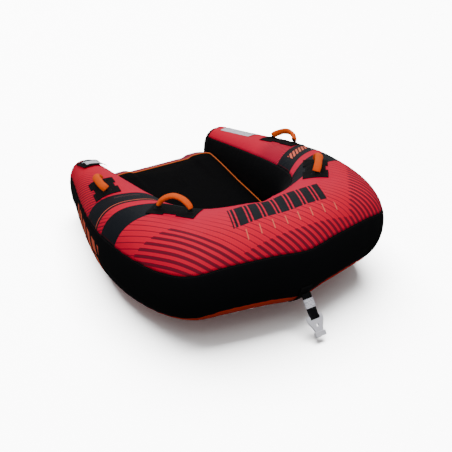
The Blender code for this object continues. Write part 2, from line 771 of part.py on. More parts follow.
def make_connector(bar_axis):
    """Moulded quick connector: a plate with a hole, a bar between its ears, and a thick foot."""
    right = connector_half_outline()
    outline = right + [(-x, y) for x, y in reversed(right)]
    hole = arc((0.0, HOLE_AT), HOLE_RADIUS, 0.0, 345.0, 24)
    flat = flat_shape("connector_plate", [outline, hole], CONNECTOR_THICKNESS, "plastic_white")
    plate_mesh = mesh_from_curve(flat, "tow_connector")
    plate = add_object("tow_connector", plate_mesh, "plastic_white", bar_axis)
    bpy.ops.mesh.primitive_cylinder_add(
        vertices=16, radius=BAR_RADIUS, depth=2 * EAR_NOTCH + 0.008, rotation=(0.0, math.pi / 2, 0.0))
    bar = adopt_tool("connector_bar", bar_axis)
    bpy.ops.mesh.primitive_cube_add(size=1.0)
    foot = adopt_tool("connector_foot", bar_axis)
    foot.dimensions = (2 * FOOT_HALF_WIDTH, FOOT_LENGTH, FOOT_THICKNESS)
    foot.location = (0.0, CONNECTOR_LENGTH - FOOT_LENGTH / 2, 0.0)
    edge = foot.modifiers.new("rounding", "BEVEL")
    edge.width = 0.005
    edge.segments = 2
    join_solid(plate, bar)
    join_solid(plate, foot)


def mesh_from_curve(source, name):
    """A mesh copy of a filled curve; the curve object is removed."""
    bpy.context.view_layer.update()
    graph = bpy.context.evaluated_depsgraph_get()
    mesh = bpy.data.meshes.new_from_object(source.evaluated_get(graph))
    mesh.name = name
    mesh.materials.clear()
    bpy.data.objects.remove(source, do_unlink=True)
    shape = bmesh.new()
    shape.from_mesh(mesh)
    bmesh.ops.remove_doubles(shape, verts=shape.verts, dist=1e-6)
    bmesh.ops.recalc_face_normals(shape, faces=shape.faces)
    shape.to_mesh(mesh)
    shape.free()
    return mesh


def adopt_tool(name, parent):
    """Name the primitive just added, and move it under a parent in the part's collection."""
    tool = bpy.context.active_object
    for owner in list(tool.users_collection):
        owner.objects.unlink(tool)
    bpy.data.collections["towable_tube"].objects.link(tool)
    tool.name = name
    tool.parent = parent
    return tool


# ---------------------------------------------------------------- valves
def turned(name, profile, finish, parent, steps=20):
    """A solid of revolution about local Z, from a closed profile of (radius, height) points."""
    mesh = bpy.data.meshes.new(name)
    count = len(profile)
    closed = all(radius > 0 for radius, _ in profile)
    edges = [(k, k + 1) for k in range(count - 1)] + ([(count - 1, 0)] if closed else [])
    mesh.from_pydata([(radius, 0.0, height) for radius, height in profile], edges, [])
    made = add_object(name, mesh, finish, parent)
    screw = made.modifiers.new("turn", "SCREW")
    screw.steps = steps
    screw.render_steps = steps
    screw.use_merge_vertices = True
    screw.merge_threshold = 0.00001
    screw.use_normal_flip = True
    return made


def make_valve(name, parent, cap_parent):
    """A flanged filling valve, and the cap that closes it; Z points out of the chamber."""
    turned(name + "_body", [
        (BORE_RADIUS, -0.022), (NECK_RADIUS, -0.022), (NECK_RADIUS, 0.0026), (FLANGE_RADIUS, 0.0026),
        (FLANGE_RADIUS, 0.0046), (NECK_RADIUS, 0.0052), (BORE_RADIUS, 0.0052),
    ], "plastic_black", parent)
    turned(name + "_cap", [
        (0.0, -0.004), (BORE_RADIUS - 0.0005, -0.004), (BORE_RADIUS - 0.0005, 0.0056),
        (CAP_RADIUS, 0.0056), (CAP_RADIUS, 0.0106), (CAP_RADIUS - 0.002, 0.0124), (0.0, 0.0124),
    ], "plastic_black", cap_parent)


def make_hull_valve():
    """The hull's valve, straight out of its cell in the top panel."""
    row, column = valve_cell()
    t = -sum(VALVE_STATIONS) / 2
    angles = hull_columns(t)
    place, normal = hull_normal(t, (angles[column] + angles[column + 1]) / 2)
    turned_out = Vector((0.0, 0.0, 1.0)).rotation_difference(normal).to_matrix()
    seat = add_empty("hull_valve_seat", place, turned_out)
    axis = add_empty("hull_valve_cap_axis", place, turned_out)
    make_valve("hull_valve", seat, axis)


def make_flap():
    """The fabric flap over the hull's valve, hinged along its front edge, with its blank label."""
    x, y = FLAP_CENTRE
    width, length = FLAP_SIZE
    height = along(CREST_Z, 0.985) + FLAP_RISE
    pitch = Matrix.Rotation(math.radians(FLAP_PITCH_DEG), 3, "X")
    axis = add_empty("valve_flap_axis", (x, y - length / 2, height), pitch)
    flap = flat_shape("valve_flap", [rounded_box(width, length, 0.014)], FLAP_THICKNESS, "webbing_black", axis)
    flap.location = (0.0, length / 2, 0.0)
    label = flat_shape("flap_label", [box_loop(-0.048, -0.042, 0.048, 0.042)], 0.0008, "label_white", axis)
    label.location = (0.0, length / 2, FLAP_THICKNESS / 2 + 0.0009)


def rounded_box(width, length, radius):
    """A rectangle with rounded corners, about its own middle."""
    x, y = width / 2 - radius, length / 2 - radius
    corners = ((x, y, 0.0), (-x, y, 90.0), (-x, -y, 180.0), (x, -y, 270.0))
    return [p for cx, cy, a in corners for p in arc((cx, cy), radius, a, a + 90.0, 4)]


def make_seat_valve():
    """The seat's valve, in its rear wall."""
    outward = Matrix.Rotation(math.radians(-90.0), 3, "X")
    place = (SEAT_VALVE_X, SEAT_REAR_Y, (WALL_LOW_Z + WALL_HIGH_Z) / 2)
    seat = add_empty("seat_valve_seat", place, outward)
    axis = add_empty("seat_valve_cap_axis", place, outward)
    make_valve("seat_valve", seat, axis)


# ---------------------------------------------------------------- zip
def make_zip():
    """A zip across the seat's rear wall: taped teeth, a slider that runs on them, and its pull."""
    y = SEAT_REAR_Y + SKIN + LAYER_GAP
    z = (WALL_LOW_Z + WALL_HIGH_Z) / 2
    low, high = ZIP_HALF_HEIGHT, TEETH_HALF_HEIGHT
    profile = [
        (0.0, -low), (ZIP_THICKNESS, -low), (ZIP_THICKNESS, -high), (TEETH_THICKNESS, -high),
        (TEETH_THICKNESS, high), (ZIP_THICKNESS, high), (ZIP_THICKNESS, low), (0.0, low),
    ]
    tape = flat_shape("seat_zip_tape", [profile], ZIP_LENGTH, "webbing_black")
    tape.matrix_world = Matrix(((0, 0, 1, ZIP_START_X + ZIP_LENGTH / 2), (1, 0, 0, y), (0, 1, 0, z), (0, 0, 0, 1)))
    slider_y = y + TEETH_THICKNESS + LAYER_GAP + SLIDER_SIZE[1] / 2
    rail = add_empty("seat_zip_slide", (ZIP_START_X + SLIDER_START, slider_y, z))
    bpy.ops.mesh.primitive_cube_add(size=1.0)
    slider = adopt_tool("seat_zip_slider", rail)
    slider.dimensions = SLIDER_SIZE
    slider.data.materials.append(material("zip_metal"))
    edge = slider.modifiers.new("rounding", "BEVEL")
    edge.width = 0.001
    edge.segments = 1
    pull_y = SLIDER_SIZE[1] / 2 + 0.0004 + PULL_SIZE[1] / 2
    hinge = add_empty("seat_zip_pull_axis", (ZIP_START_X + SLIDER_START, slider_y + pull_y, z))
    pull = flat_shape("seat_zip_pull", [
        rounded_box(PULL_SIZE[0], PULL_SIZE[2], 0.003),
        box_loop(0.006, -0.002, 0.013, 0.002),
    ], PULL_SIZE[1], "zip_metal", hinge)
    pull.rotation_euler = (math.pi / 2, 0.0, 0.0)
    pull.location = (PULL_SIZE[0] / 2, 0.0, 0.0)


def make_care_label(tree):
    """The blank white label sewn along the top of the right arm."""
    start = Vector((0.480, 0.640))
    run = Vector((0.035, -0.262))
    across = Vector((-run.y, run.x)).normalized()
    points = []
    for share in np.linspace(0.0, 1.0, 12):
        for width in np.linspace(-0.036, 0.036, 6):
            plan = start + run * share + across * width
            place, normal = drop_to_cover(tree, plan.x, plan.y)
            points.append(place + normal * PATCH_LIFT)
    label = add_mesh("care_label", points, grid_faces(12, 6), "label_white")
    shell = label.modifiers.new("thickness", "SOLIDIFY")
    shell.thickness = 0.0006
    shell.offset = 0.0


def main():
    """Build the whole part."""
    start_scene()
    make_hull()
    make_seat()
    tree = cover_surface()
    make_handles(tree)
    make_care_label(tree)
    make_tow_patch()
    make_tow_strap()
    make_hull_valve()
    make_flap()
    make_seat_valve()
    make_zip()
    bpy.context.view_layer.update()


main()
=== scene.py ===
"""Looks of a two-rider towable tube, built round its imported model.

Metres, +Z up, bow towards -Y. The cover's panels follow the same section and outline formulas as
the solids, drawn finely enough to carry seams, puckers and print. A place on the hull is a station
t and an angle, as in the solids: t runs from the left arm's end (-1) through the bow (0) to the
right arm's end (+1) and on over its rounded end (|t| up to 2); the angle is 0 on the outer side,
90 on top and 180 on the inner side.
"""

import json
import math

import bmesh
import bpy
import numpy as np
from mathutils import Matrix, Vector
from mathutils.bvhtree import BVHTree


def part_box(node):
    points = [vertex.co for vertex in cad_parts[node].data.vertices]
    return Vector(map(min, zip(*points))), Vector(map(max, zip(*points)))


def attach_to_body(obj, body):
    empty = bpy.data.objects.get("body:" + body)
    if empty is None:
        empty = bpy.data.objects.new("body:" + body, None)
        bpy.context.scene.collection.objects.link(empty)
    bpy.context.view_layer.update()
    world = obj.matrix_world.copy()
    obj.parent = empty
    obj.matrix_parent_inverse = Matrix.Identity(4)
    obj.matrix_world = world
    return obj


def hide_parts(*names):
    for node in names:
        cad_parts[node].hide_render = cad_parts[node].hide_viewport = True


UP = (0.0, 0.0, 1.0)

# --- Camera: the photograph's viewing angle ---
VIEW_AZIMUTH = -31.34
VIEW_ELEVATION = 29.93
VIEW_DISTANCE = 4.252
VIEW_TARGET = Vector((0.0, 0.0, 0.245))
VIEW_LENS = 60.1
VIEW_SHIFT = (0.0274, -0.0352)

# --- Studio light ---
SKY_ABOVE = 0.55
SKY_BELOW = 0.06
BACKDROP = 9.0
FLOOR_HALF = 60
# Each lamp: its place, its size and its power.
KEY_LAMP = ((-1.2, -1.6, 4.0), 2.6, 75.0)
REAR_LAMP = ((1.6, 2.6, 3.2), 2.4, 45.0)
FLOOR_LAMP = ((2.0, 9.0, 28.0), 30.0, 128000.0)

# --- Hull: one value per key station, from the bow's centre to an arm's end ---
KEYS = (0.0, 0.12, 0.25, 0.38, 0.5, 0.62, 0.74, 0.87, 1.0)
OUTER_X = (0.0, 0.186, 0.409, 0.577, 0.669, 0.732, 0.750, 0.692, 0.580)
OUTER_Y = (-0.872, -0.847, -0.803, -0.743, -0.605, -0.386, -0.097, 0.246, 0.677)
INNER_X = (0.0, 0.064, 0.154, 0.234, 0.291, 0.322, 0.338, 0.351, 0.363)
INNER_Y = (-0.399, -0.390, -0.354, -0.292, -0.219, -0.138, 0.016, 0.287, 0.651)
CREST_Z = (0.567, 0.573, 0.566, 0.557, 0.550, 0.533, 0.509, 0.459, 0.387)
KEEL_Z = (0.076, 0.086, 0.082, 0.056, 0.032, 0.016, 0.006, 0.0, 0.0)
OUTER_SEAM = (23.9, 24.8, 25.0, 21.3, 19.0, 20.9, 21.7, 22.8, 25.0)
KEEL_SEAM_OUT = (323.0, 326.0, 327.0, 321.0, 315.0, 312.0, 310.0, 310.0, 310.0)
INNER_SEAM = 137.4
KEEL_SEAM_IN = 232.0
WIDEST_AT = 0.554
UPPER_POWER = 2.49
LOWER_POWER = (2.26, 2.19, 2.11, 2.03, 1.96, 1.96, 1.96, 1.96, 1.96)
END_LENGTH = 0.130
END_POWER = 2.6
END_SEAM = 1.35
PANEL_STEP = 0.011
PANEL_THICKNESS = 0.0016
METRES_PER_STATION = 1.55

# --- How the inflated cover puckers at its seams ---
SEAM_DIP = 0.0022
SEAM_DIP_REACH = 0.006
PUCKER_DEPTH = 0.0016
PUCKER_REACH = 0.032
PUCKER_PITCH = 0.044
SLACK_DEPTH = 0.0018
SLACK_PITCH = 0.26

# --- Seat ---
SEAT_CLEARANCE = -0.005
SEAT_LAST_KEY = 0.94
SEAT_REAR_Y = 0.744
SEAT_REAR_START_Y = 0.350
SEAT_CORNER = 0.100
SEAT_TOP_Z = 0.209
SEAT_TOP_SLOPE = 0.072
SEAT_SIDE_INSET = 0.022
SEAT_BOW_REACH = 0.018
SEAT_BOW_START_Y = -0.16
SEAT_BOW_FULL_Y = -0.30
SEAT_REAR_INSET = 0.115
SEAT_COLUMNS = 220
SEAT_SWELL = 0.010
SEAT_LOWEST = 0.0006
SEAT_MIDDLE = (0.0, 0.2, 0.1)
RIM_HOLD = 0.85
CLOTH = {
    "quality": 6, "mass": 0.3, "use_pressure": True, "uniform_pressure_force": 4.0,
    "tension_stiffness": 20.0, "compression_stiffness": 12.0, "bending_stiffness": 0.6,
    "vertex_group_mass": "pinned",
}
CLOTH_FRAMES = 20
SIDE_TUBE_X = 0.205
SIDE_TUBE_RISE = 0.013
PIPING_RADIUS = 0.0034

# --- Handles ---
HANDLE_NAMES = ("left_rear_handle", "right_rear_handle", "left_front_handle", "right_front_handle")
HANDLE_SPAN = 0.170
HANDLE_RISE = 0.061
ARCH_POWER = 1.75
GRIP_DEPTH = 0.0135
GRIP_WIDENING = 1.55
GRIP_START = 9.5
GRIP_LENGTH = 0.21
GRIP_CREASE = 0.0013
GRIP_WALL = 0.0030
STRAP_RADIUS = 0.0068
PATCH_LENGTH = 0.250
PATCH_WIDTH = 0.132
PATCH_WAIST = 0.106
PATCH_BAR = 0.092
PATCH_LIFT = 0.0042
PATCH_THICKNESS = 0.0024
DRAPE_STEP = 0.007
FOOT_SPREAD = 0.021
FOOT_TOP = 0.0045
FOOT_RISE = 0.0052
FOOT_DEPTH = 0.0082

# --- Labels and flap ---
LABEL_REAR_X = 0.480
LABEL_FRONT_X = 0.515
LABEL_HALF_WIDTH = 0.037
LABEL_LIFT = 0.0022
LABEL_THICKNESS = 0.0007
FLAP_OVERHANG = 0.006
FLAP_SAG = 0.62
FLAP_GAPE = 0.0105
FLAP_GAPE_LOSS = 0.0065
FLAP_TENT = 0.0105
FLAP_TENT_RADIUS = 0.034
FLAP_THICKNESS = 0.0026
FLAP_LABEL_HALF = (0.044, 0.047)
FLAP_LABEL_LIFT = 0.0011
FLAP_LABEL_THICKNESS = 0.0008

# --- Print on the top panel ---
STRIPE_SLANT = 0.60
STRIPE_PITCH = 0.037
STRIPE_THIN = 0.0050
STRIPE_THICK = 0.0180
FINE_PITCH = 0.0240
FINE_WIDTH = 0.0080
LEVEL_PITCH = 0.0200
LEVEL_WIDTH = 0.0085
PRINT_EDGE = 0.002
BLACK = (0.0026, 0.0026, 0.0034)
BAND_COLOUR = (0.0045, 0.0065, 0.011)
CORAL = (0.95, 0.17, 0.10)
MAROON = (0.135, 0.006, 0.022)

# --- Stitching and relief ---
STITCH_PITCH = 0.0065
SEAM_STITCH = 0.0070
SEAT_STITCH = 0.009
BUMP_STRENGTH = 0.8
DARK_THREAD = (0.02, 0.02, 0.022)
RED_THREAD = (0.16, 0.004, 0.012)


# ---------------------------------------------------------------- shader arithmetic
class Flow:
    """A shader socket that takes part in arithmetic."""

    def __init__(self, tree, socket):
        self.tree = tree
        self.socket = socket

    def apply(self, operation, *others, clamp=False):
        node = self.tree.nodes.new("ShaderNodeMath")
        node.operation = operation
        node.use_clamp = clamp
        for slot, value in zip(node.inputs, (self, *others)):
            if isinstance(value, Flow):
                self.tree.links.new(value.socket, slot)
            else:
                slot.default_value = value
        return Flow(self.tree, node.outputs[0])

    def __add__(self, other):
        return self.apply("ADD", other)

    def __sub__(self, other):
        return self.apply("SUBTRACT", other)

    def __mul__(self, other):
        return self.apply("MULTIPLY", other)

    def __rsub__(self, other):
        return self.apply("MULTIPLY", -1.0).apply("ADD", other)

    __radd__ = __add__
    __rmul__ = __mul__

    def size(self):
        """The value without its sign."""
        return self.apply("ABSOLUTE")

    def most(self, other):
        return self.apply("MAXIMUM", other)

    def above(self, edge, soft):
        """1 where the value is over an edge, 0 under it, with a soft step."""
        return ((self - edge) * (1.0 / soft)).apply("ADD", 0.5, clamp=True)

    def below(self, edge, soft):
        return 1.0 - self.above(edge, soft)

    def between(self, low, high, soft):
        return self.above(low, soft) * self.below(high, soft)

    def cycle(self, pitch):
        """Place within a repeat, from 0 to 1."""
        return (self * (1.0 / pitch)).apply("FRACT")

    def index(self, pitch):
        """Number of whole repeats."""
        return (self * (1.0 / pitch)).apply("FLOOR")

    def lines(self, pitch, width, soft=0.0008):
        """1 on lines of a width that repeat at a pitch."""
        off = (self.cycle(pitch) - 0.5).size() * pitch
        return off.below(width * 0.5 if isinstance(width, Flow) else width / 2, soft)

    def wave(self, pitch):
        """A sine wave between -1 and 1."""
        return (self * (2 * math.pi / pitch)).apply("SINE")


class Paint:
    """A material under construction: colour, roughness and relief grow step by step."""

    def __init__(self, name, colour, roughness, sheen=0.0, specular=0.5, coat=0.0, metallic=0.0):
        self.material = bpy.data.materials.new(name)
        self.material.use_nodes = True
        self.material.diffuse_color = (*colour, 1.0)
        self.tree = self.material.node_tree
        self.shader = self.tree.nodes["Principled BSDF"]
        settings = {
            "Roughness": roughness, "Sheen Weight": sheen, "Sheen Roughness": 0.5,
            "Specular IOR Level": specular, "Coat Weight": coat, "Metallic": metallic,
        }
        for key, value in settings.items():
            self.shader.inputs[key].default_value = value
        tone = self.node("RGB")
        tone.outputs[0].default_value = (*colour, 1.0)
        self.colour = tone.outputs[0]
        self.relief = None

    def node(self, kind):
        return self.tree.nodes.new("ShaderNode" + kind)

    def link(self, source, target):
        self.tree.links.new(source, target)

    def place(self):
        """X, Y and Z in the row frame at rest."""
        return self.split(self.node("TexCoord").outputs["Object"])

    def split(self, socket):
        parts = self.node("SeparateXYZ")
        self.link(socket, parts.inputs[0])
        return [Flow(self.tree, out) for out in parts.outputs]

    def attribute(self, name):
        node = self.node("Attribute")
        node.attribute_name = name
        return node.outputs

    def mark(self, name):
        """The mesh's own named value."""
        return Flow(self.tree, self.attribute(name)["Fac"])

    def mark_parts(self, name):
        """The three parts of the mesh's own named vector."""
        return self.split(self.attribute(name)["Vector"])

    def noise(self, size, detail=2.0):
        """Cloudy noise between 0 and 1, with features of about a size."""
        clouds = self.node("TexNoise")
        clouds.inputs["Scale"].default_value = 1.0 / size
        clouds.inputs["Detail"].default_value = detail
        self.link(self.node("TexCoord").outputs["Object"], clouds.inputs["Vector"])
        return Flow(self.tree, clouds.outputs[0])

    def blend(self, mask, colour):
        """Lay a colour over what is there, where a mask is 1."""
        mix = self.node("Mix")
        mix.data_type = "RGBA"
        self.link(mask.socket, mix.inputs[0])
        self.link(self.colour, mix.inputs[6])
        mix.inputs[7].default_value = (*colour, 1.0)
        self.colour = mix.outputs[2]

    def vary(self, size, amount):
        """Let the colour's brightness drift by an amount, over patches of a size."""
        tone = (self.noise(size, 3.0) - 0.5) * (2.0 * amount) + 1.0
        scale = self.node("VectorMath")
        scale.operation = "SCALE"
        self.link(self.colour, scale.inputs[0])
        self.link(tone.socket, scale.inputs["Scale"])
        self.colour = scale.outputs[0]

    def raise_by(self, height, metres):
        """Add relief: a height between 0 and 1, times metres."""
        step = height * metres
        self.relief = step if self.relief is None else self.relief + step

    def roughen(self, flow):
        """Set the roughness from a value."""
        self.link(flow.socket, self.shader.inputs["Roughness"])

    def done(self):
        """Wire the result up and give the material."""
        self.link(self.colour, self.shader.inputs["Base Color"])
        if self.relief is not None:
            bump = self.node("Bump")
            bump.inputs["Distance"].default_value = 1.0
            bump.inputs["Strength"].default_value = BUMP_STRENGTH
            self.link(self.relief.socket, bump.inputs["Height"])
            self.link(bump.outputs["Normal"], self.shader.inputs["Normal"])
        return self.material


def weave(paint, pitch, depth):
    """The relief of a plain weave, on any slope."""
    x, y, z = paint.place()
    warp = (x + z * 0.31).wave(pitch)
    weft = (y + z * 0.73).wave(pitch)
    paint.raise_by(warp * weft, depth)


def stitches(paint, inset, thread, depth=0.0005):
    """A row of stitches at an inset from the mesh's marked edges."""
    row = (paint.mark("seam") - inset).size().below(0.0007, 0.0006)
    dash = row * paint.mark("run").cycle(STITCH_PITCH).between(0.12, 0.80, 0.1)
    paint.blend(dash * 0.85, thread)
    paint.raise_by(dash, depth)


def coated_cloth(paint, thread, roughness):
    """The finish of a coated fabric: stitches along its seams, a weave, and soft unevenness."""
    stitches(paint, SEAM_STITCH, thread)
    weave(paint, 0.0026, 0.00014)
    paint.raise_by(paint.noise(0.04), 0.0012)
    paint.roughen(paint.noise(0.06) * 0.14 + (roughness - 0.07))


def strip(rear, front):
    """1 between a rear and a front edge, given how far rearward of each a point lies."""
    return rear.below(0.0, PRINT_EDGE) * front.above(0.0, PRINT_EDGE)


# ---------------------------------------------------------------- materials
def band_edges(x, y):
    """How far rearward of each edge of the arms' two dark bands; x is the way out from the middle."""
    inward = (0.742 - x).most(0.0)
    wide_rear = y + 0.137 + inward.apply("POWER", 1.8) * 0.68
    wide_front = y + 0.285 + inward.apply("POWER", 1.7) * 0.35
    narrow_rear = y - 0.098 + inward * 0.45
    narrow_front = y + 0.078 + inward.apply("POWER", 1.6) * 0.62
    return wide_rear, wide_front, narrow_rear, narrow_front


def bow_bars(x, y):
    """A generic row of slanted bars across the bow: wide blocks, each with a slim one beside it."""
    lean = x - (y + 0.588) * 0.38
    tall = (y + 0.588).size().below(0.078, 0.0014)
    row = (lean - 0.004).size().below(0.272, 0.0014)
    wide = lean.cycle(0.0780).between(0.04, 0.66, 0.02)
    slim = lean.cycle(0.0780).between(0.76, 0.93, 0.02)
    return tall * row * wide.most(slim)


def top_print():
    """The crimson panel: painted highlight and shade across it, raked stripes, dark bands on the arms, and
    generic bars on the bow.
    """
    paint = Paint("top_print", (0.84, 0.0, 0.038), 0.66, sheen=0.0, specular=0.14)
    x, y, _ = paint.place()
    wide_x, wide_y, reach = paint.mark_parts("spread")
    side = x.size()
    # Painted highlight: pinker crimson towards the inner top, standing in for the fabric's sheen.
    paint.blend(reach.above(0.30, 0.30) * 0.6, (0.78, 0.008, 0.070))
    # Painted shade: darker crimson near the outer seam, low on the outside, where less light falls.
    paint.blend(reach.below(0.03, 0.12) * 0.55, (0.62, 0.0, 0.030))
    paint.vary(0.22, 0.06)
    wide_rear, wide_front, narrow_rear, narrow_front = band_edges(side, y)

    rake = wide_x + wide_y * STRIPE_SLANT
    centre = (rake.index(STRIPE_PITCH) + 0.5) * STRIPE_PITCH
    elbow_edge = centre * -0.25 - 0.695
    bow_edge = (centre + 0.17).most(0.0) * 0.72 - 0.782
    on_elbow = centre.below(-0.825, 0.001)
    edge = on_elbow * elbow_edge + (1.0 - on_elbow) * bow_edge
    thick = y.below(edge, PRINT_EDGE)
    width = thick * (STRIPE_THICK - STRIPE_THIN) + STRIPE_THIN
    ahead = wide_front.below(0.0, PRINT_EDGE)
    fade = reach.below(0.30, 0.20)
    stripes = rake.lines(STRIPE_PITCH, width) * ahead * (fade * 0.9).most(thick)
    paint.blend(stripes * 0.92, MAROON)

    behind = narrow_rear.above(0.0, PRINT_EDGE)
    gap = strip(narrow_front, wide_rear)
    fine = rake.lines(FINE_PITCH, FINE_WIDTH)
    left = x.below(0.0, 0.01)
    left_fade = reach.below(0.19, 0.14) * narrow_rear.below(0.42, 0.24) * left
    right_fade = side.below(0.60, 0.10) * narrow_rear.below(0.20, 0.10) * (1.0 - left)
    level = (y + x * 0.5).lines(LEVEL_PITCH, LEVEL_WIDTH)
    gap_fade = reach.below(0.09, 0.10)
    paint.blend(fine * (behind * left_fade).most(gap * gap_fade) * 0.85, MAROON)
    paint.blend(level * behind * right_fade * 0.85, MAROON)

    paint.blend(strip(wide_rear, wide_front).most(strip(narrow_rear, narrow_front)), BAND_COLOUR)
    coral = (narrow_front - 0.020).size().below(0.0026, 0.0012) * left * side.above(0.44, 0.02)
    paint.blend(coral, CORAL)
    lean = side - y * 0.55
    ticks = lean.cycle(0.0225).between(0.14, 0.78, 0.06)
    tick_row = (narrow_rear + 0.064).size().below(0.024, 0.0015)
    right_ticks = side.between(0.440, 0.615, PRINT_EDGE) * (1.0 - left)
    paint.blend(ticks * tick_row * right_ticks, CORAL)
    faint = lean.cycle(0.0125).between(0.25, 0.60, 0.08)
    faint_row = (narrow_rear + 0.038).size().below(0.009, 0.0015)
    faint_ticks = side.between(0.48, 0.60, PRINT_EDGE) * left
    paint.blend(faint * faint_row * faint_ticks * 0.5, (0.30, 0.10, 0.11))

    paint.blend(bow_bars(x, y), BAND_COLOUR)
    slashes = (x - (y + 0.72) * 0.35).cycle(0.0735).between(0.455, 0.535, 0.014)
    slash_row = (y + 0.72).size().below(0.027, 0.0014) * (x + 0.012).size().below(0.275, 0.001)
    paint.blend(slashes * slash_row * 0.85, (0.86, 0.20, 0.12))

    stitches(paint, SEAM_STITCH, RED_THREAD)
    stitches(paint, SEAM_STITCH * 1.5, RED_THREAD)
    weave(paint, 0.0021, 0.00010)
    paint.raise_by(paint.noise(0.035), 0.0012)
    paint.roughen(paint.noise(0.09) * 0.16 + 0.54)
    return paint.done()


def cover_fabric(name, colour, thread, roughness=0.82, specular=0.10):
    """Plain coated fabric, with stitches along its seams."""
    paint = Paint(name, colour, roughness, specular=specular)
    paint.vary(0.15, 0.15)
    coated_cloth(paint, thread, roughness)
    return paint.done()


def side_print():
    """The hull's black outer side, with a generic row of slanted coral bars on the left arm."""
    paint = Paint("side_print", BLACK, 0.85, specular=0.10)
    x, y, z = paint.place()
    lean = y - (z - 0.22) * 0.35
    bars = lean.cycle(0.094).between(0.08, 0.70, 0.02)
    slot = (z - 0.235).size().below(0.008, 0.002) * lean.cycle(0.188).above(0.5, 0.02)
    block = (z - 0.225).size().below(0.088, 0.002) * (y - 0.125).size().below(0.235, 0.002)
    paint.blend(bars * block * (1.0 - slot) * x.below(0.0, 0.01), CORAL)
    coated_cloth(paint, DARK_THREAD, 0.85)
    return paint.done()


def seat_facing():
    """Soft knitted facing on top of the seat: a fine diamond knit."""
    paint = Paint("seat_facing", (0.0022, 0.0022, 0.0026), 0.93, specular=0.07)
    x, y, _ = paint.place()
    diamond = (x + y).wave(0.0085) * (x - y).wave(0.0085)
    paint.raise_by(diamond, 0.00045)
    paint.raise_by(paint.noise(0.05), 0.0012)
    paint.vary(0.06, 0.2)
    stitches(paint, SEAT_STITCH, (0.02, 0.02, 0.02))
    return paint.done()


def seat_wall():
    """Maroon print on the seat's wall: fine darker stripes that lean like the hull's."""
    paint = Paint("seat_wall", (0.36, 0.008, 0.045), 0.68, sheen=0.08, specular=0.25)
    x, y, z = paint.place()
    paint.blend((x + y * 0.6 + z * 0.5).lines(0.030, 0.006) * 0.7, (0.10, 0.004, 0.018))
    paint.vary(0.2, 0.1)
    stitches(paint, SEAT_STITCH, (0.10, 0.003, 0.012))
    weave(paint, 0.0021, 0.0001)
    paint.raise_by(paint.noise(0.04), 0.0014)
    return paint.done()


def webbing(name, edge_row=True):
    """Woven polyester: ribs across, a chevron along, and a stitched border where there is one."""
    paint = Paint(name, (0.0036, 0.0036, 0.0042), 0.86, specular=0.12)
    x, y, z = paint.place()
    rib = (x * 0.6 + y * 0.7 + z * 0.7).wave(0.0024)
    chevron = (x + (y - z) * 0.4).wave(0.0052)
    paint.raise_by(rib + chevron * 0.5, 0.00018)
    paint.vary(0.012, 0.25)
    if edge_row:
        stitches(paint, 0.0055, (0.035, 0.035, 0.038))
    paint.roughen(paint.noise(0.01) * 0.1 + 0.80)
    return paint.done()


def grip_cloth():
    """Bright orange neoprene-faced foam, with painted shade in its creases and at its ends, scuffed on its
    crest.
    """
    paint = Paint("grip_cloth", (0.98, 0.120, 0.004), 0.74, specular=0.18)
    paint.vary(0.018, 0.10)
    # Painted shade: darker orange in the creases inside the bend and at the sleeve's open ends.
    painted_shade = paint.mark("painted_shade")
    paint.blend(painted_shade * 0.75, (0.42, 0.035, 0.004))
    scuff = paint.noise(0.012, 4.0).above(0.60, 0.08) * paint.noise(0.05).above(0.52, 0.1)
    paint.blend(scuff * 0.30, (0.74, 0.11, 0.02))
    paint.raise_by(paint.noise(0.0035, 3.0), 0.00045)
    weave(paint, 0.0017, 0.00008)
    paint.roughen(paint.noise(0.02) * 0.2 + 0.60)
    return paint.done()


def piping_cord():
    """Orange fabric drawn round a cord, with a fine diagonal twill."""
    paint = Paint("piping_cord", (0.92, 0.16, 0.010), 0.55, sheen=0.1, specular=0.4)
    x, y, z = paint.place()
    paint.raise_by((x + y + z).wave(0.0022), 0.00012)
    paint.vary(0.05, 0.08)
    return paint.done()


def label_cloth(name, marks, everywhere=False):
    """White woven label with a sewn border, blank or with faint grey flecks that spell nothing."""
    paint = Paint(name, (0.90, 0.89, 0.97), 0.60, specular=0.3)
    x, y, _ = paint.place()
    if marks:
        fleck = paint.noise(0.006, 1.0).above(0.56, 0.04)
        if not everywhere:
            inside = paint.mark("seam").above(0.010, 0.002)
            fleck = fleck * paint.noise(0.035, 0.0).above(0.50, 0.06) * inside
        paint.blend(fleck * 0.55, (0.16, 0.16, 0.22))
    stitches(paint, 0.0035, (0.42, 0.42, 0.50), 0.0003)
    paint.raise_by((x * 0.9 + y * 0.5).wave(0.0016), 0.00005)
    paint.raise_by(paint.noise(0.03), 0.0008)
    paint.vary(0.04, 0.04)
    return paint.done()


def moulded(name, colour, roughness, grain=0.00006):
    """Moulded plastic with a fine spark-eroded grain and rubbed patches."""
    paint = Paint(name, colour, roughness, specular=0.5, coat=0.05)
    paint.raise_by(paint.noise(0.0009, 2.0), grain)
    paint.vary(0.03, 0.05)
    paint.roughen(paint.noise(0.012, 3.0) * 0.22 + (roughness - 0.11))
    return paint.done()


def cast_metal():
    """Satin die-cast metal for the zip, bright where it rubs."""
    paint = Paint("cast_metal", (0.30, 0.30, 0.32), 0.36, metallic=1.0)
    paint.blend(paint.noise(0.004, 3.0).above(0.58, 0.1) * 0.5, (0.55, 0.55, 0.57))
    paint.raise_by(paint.noise(0.0012), 0.00005)
    return paint.done()


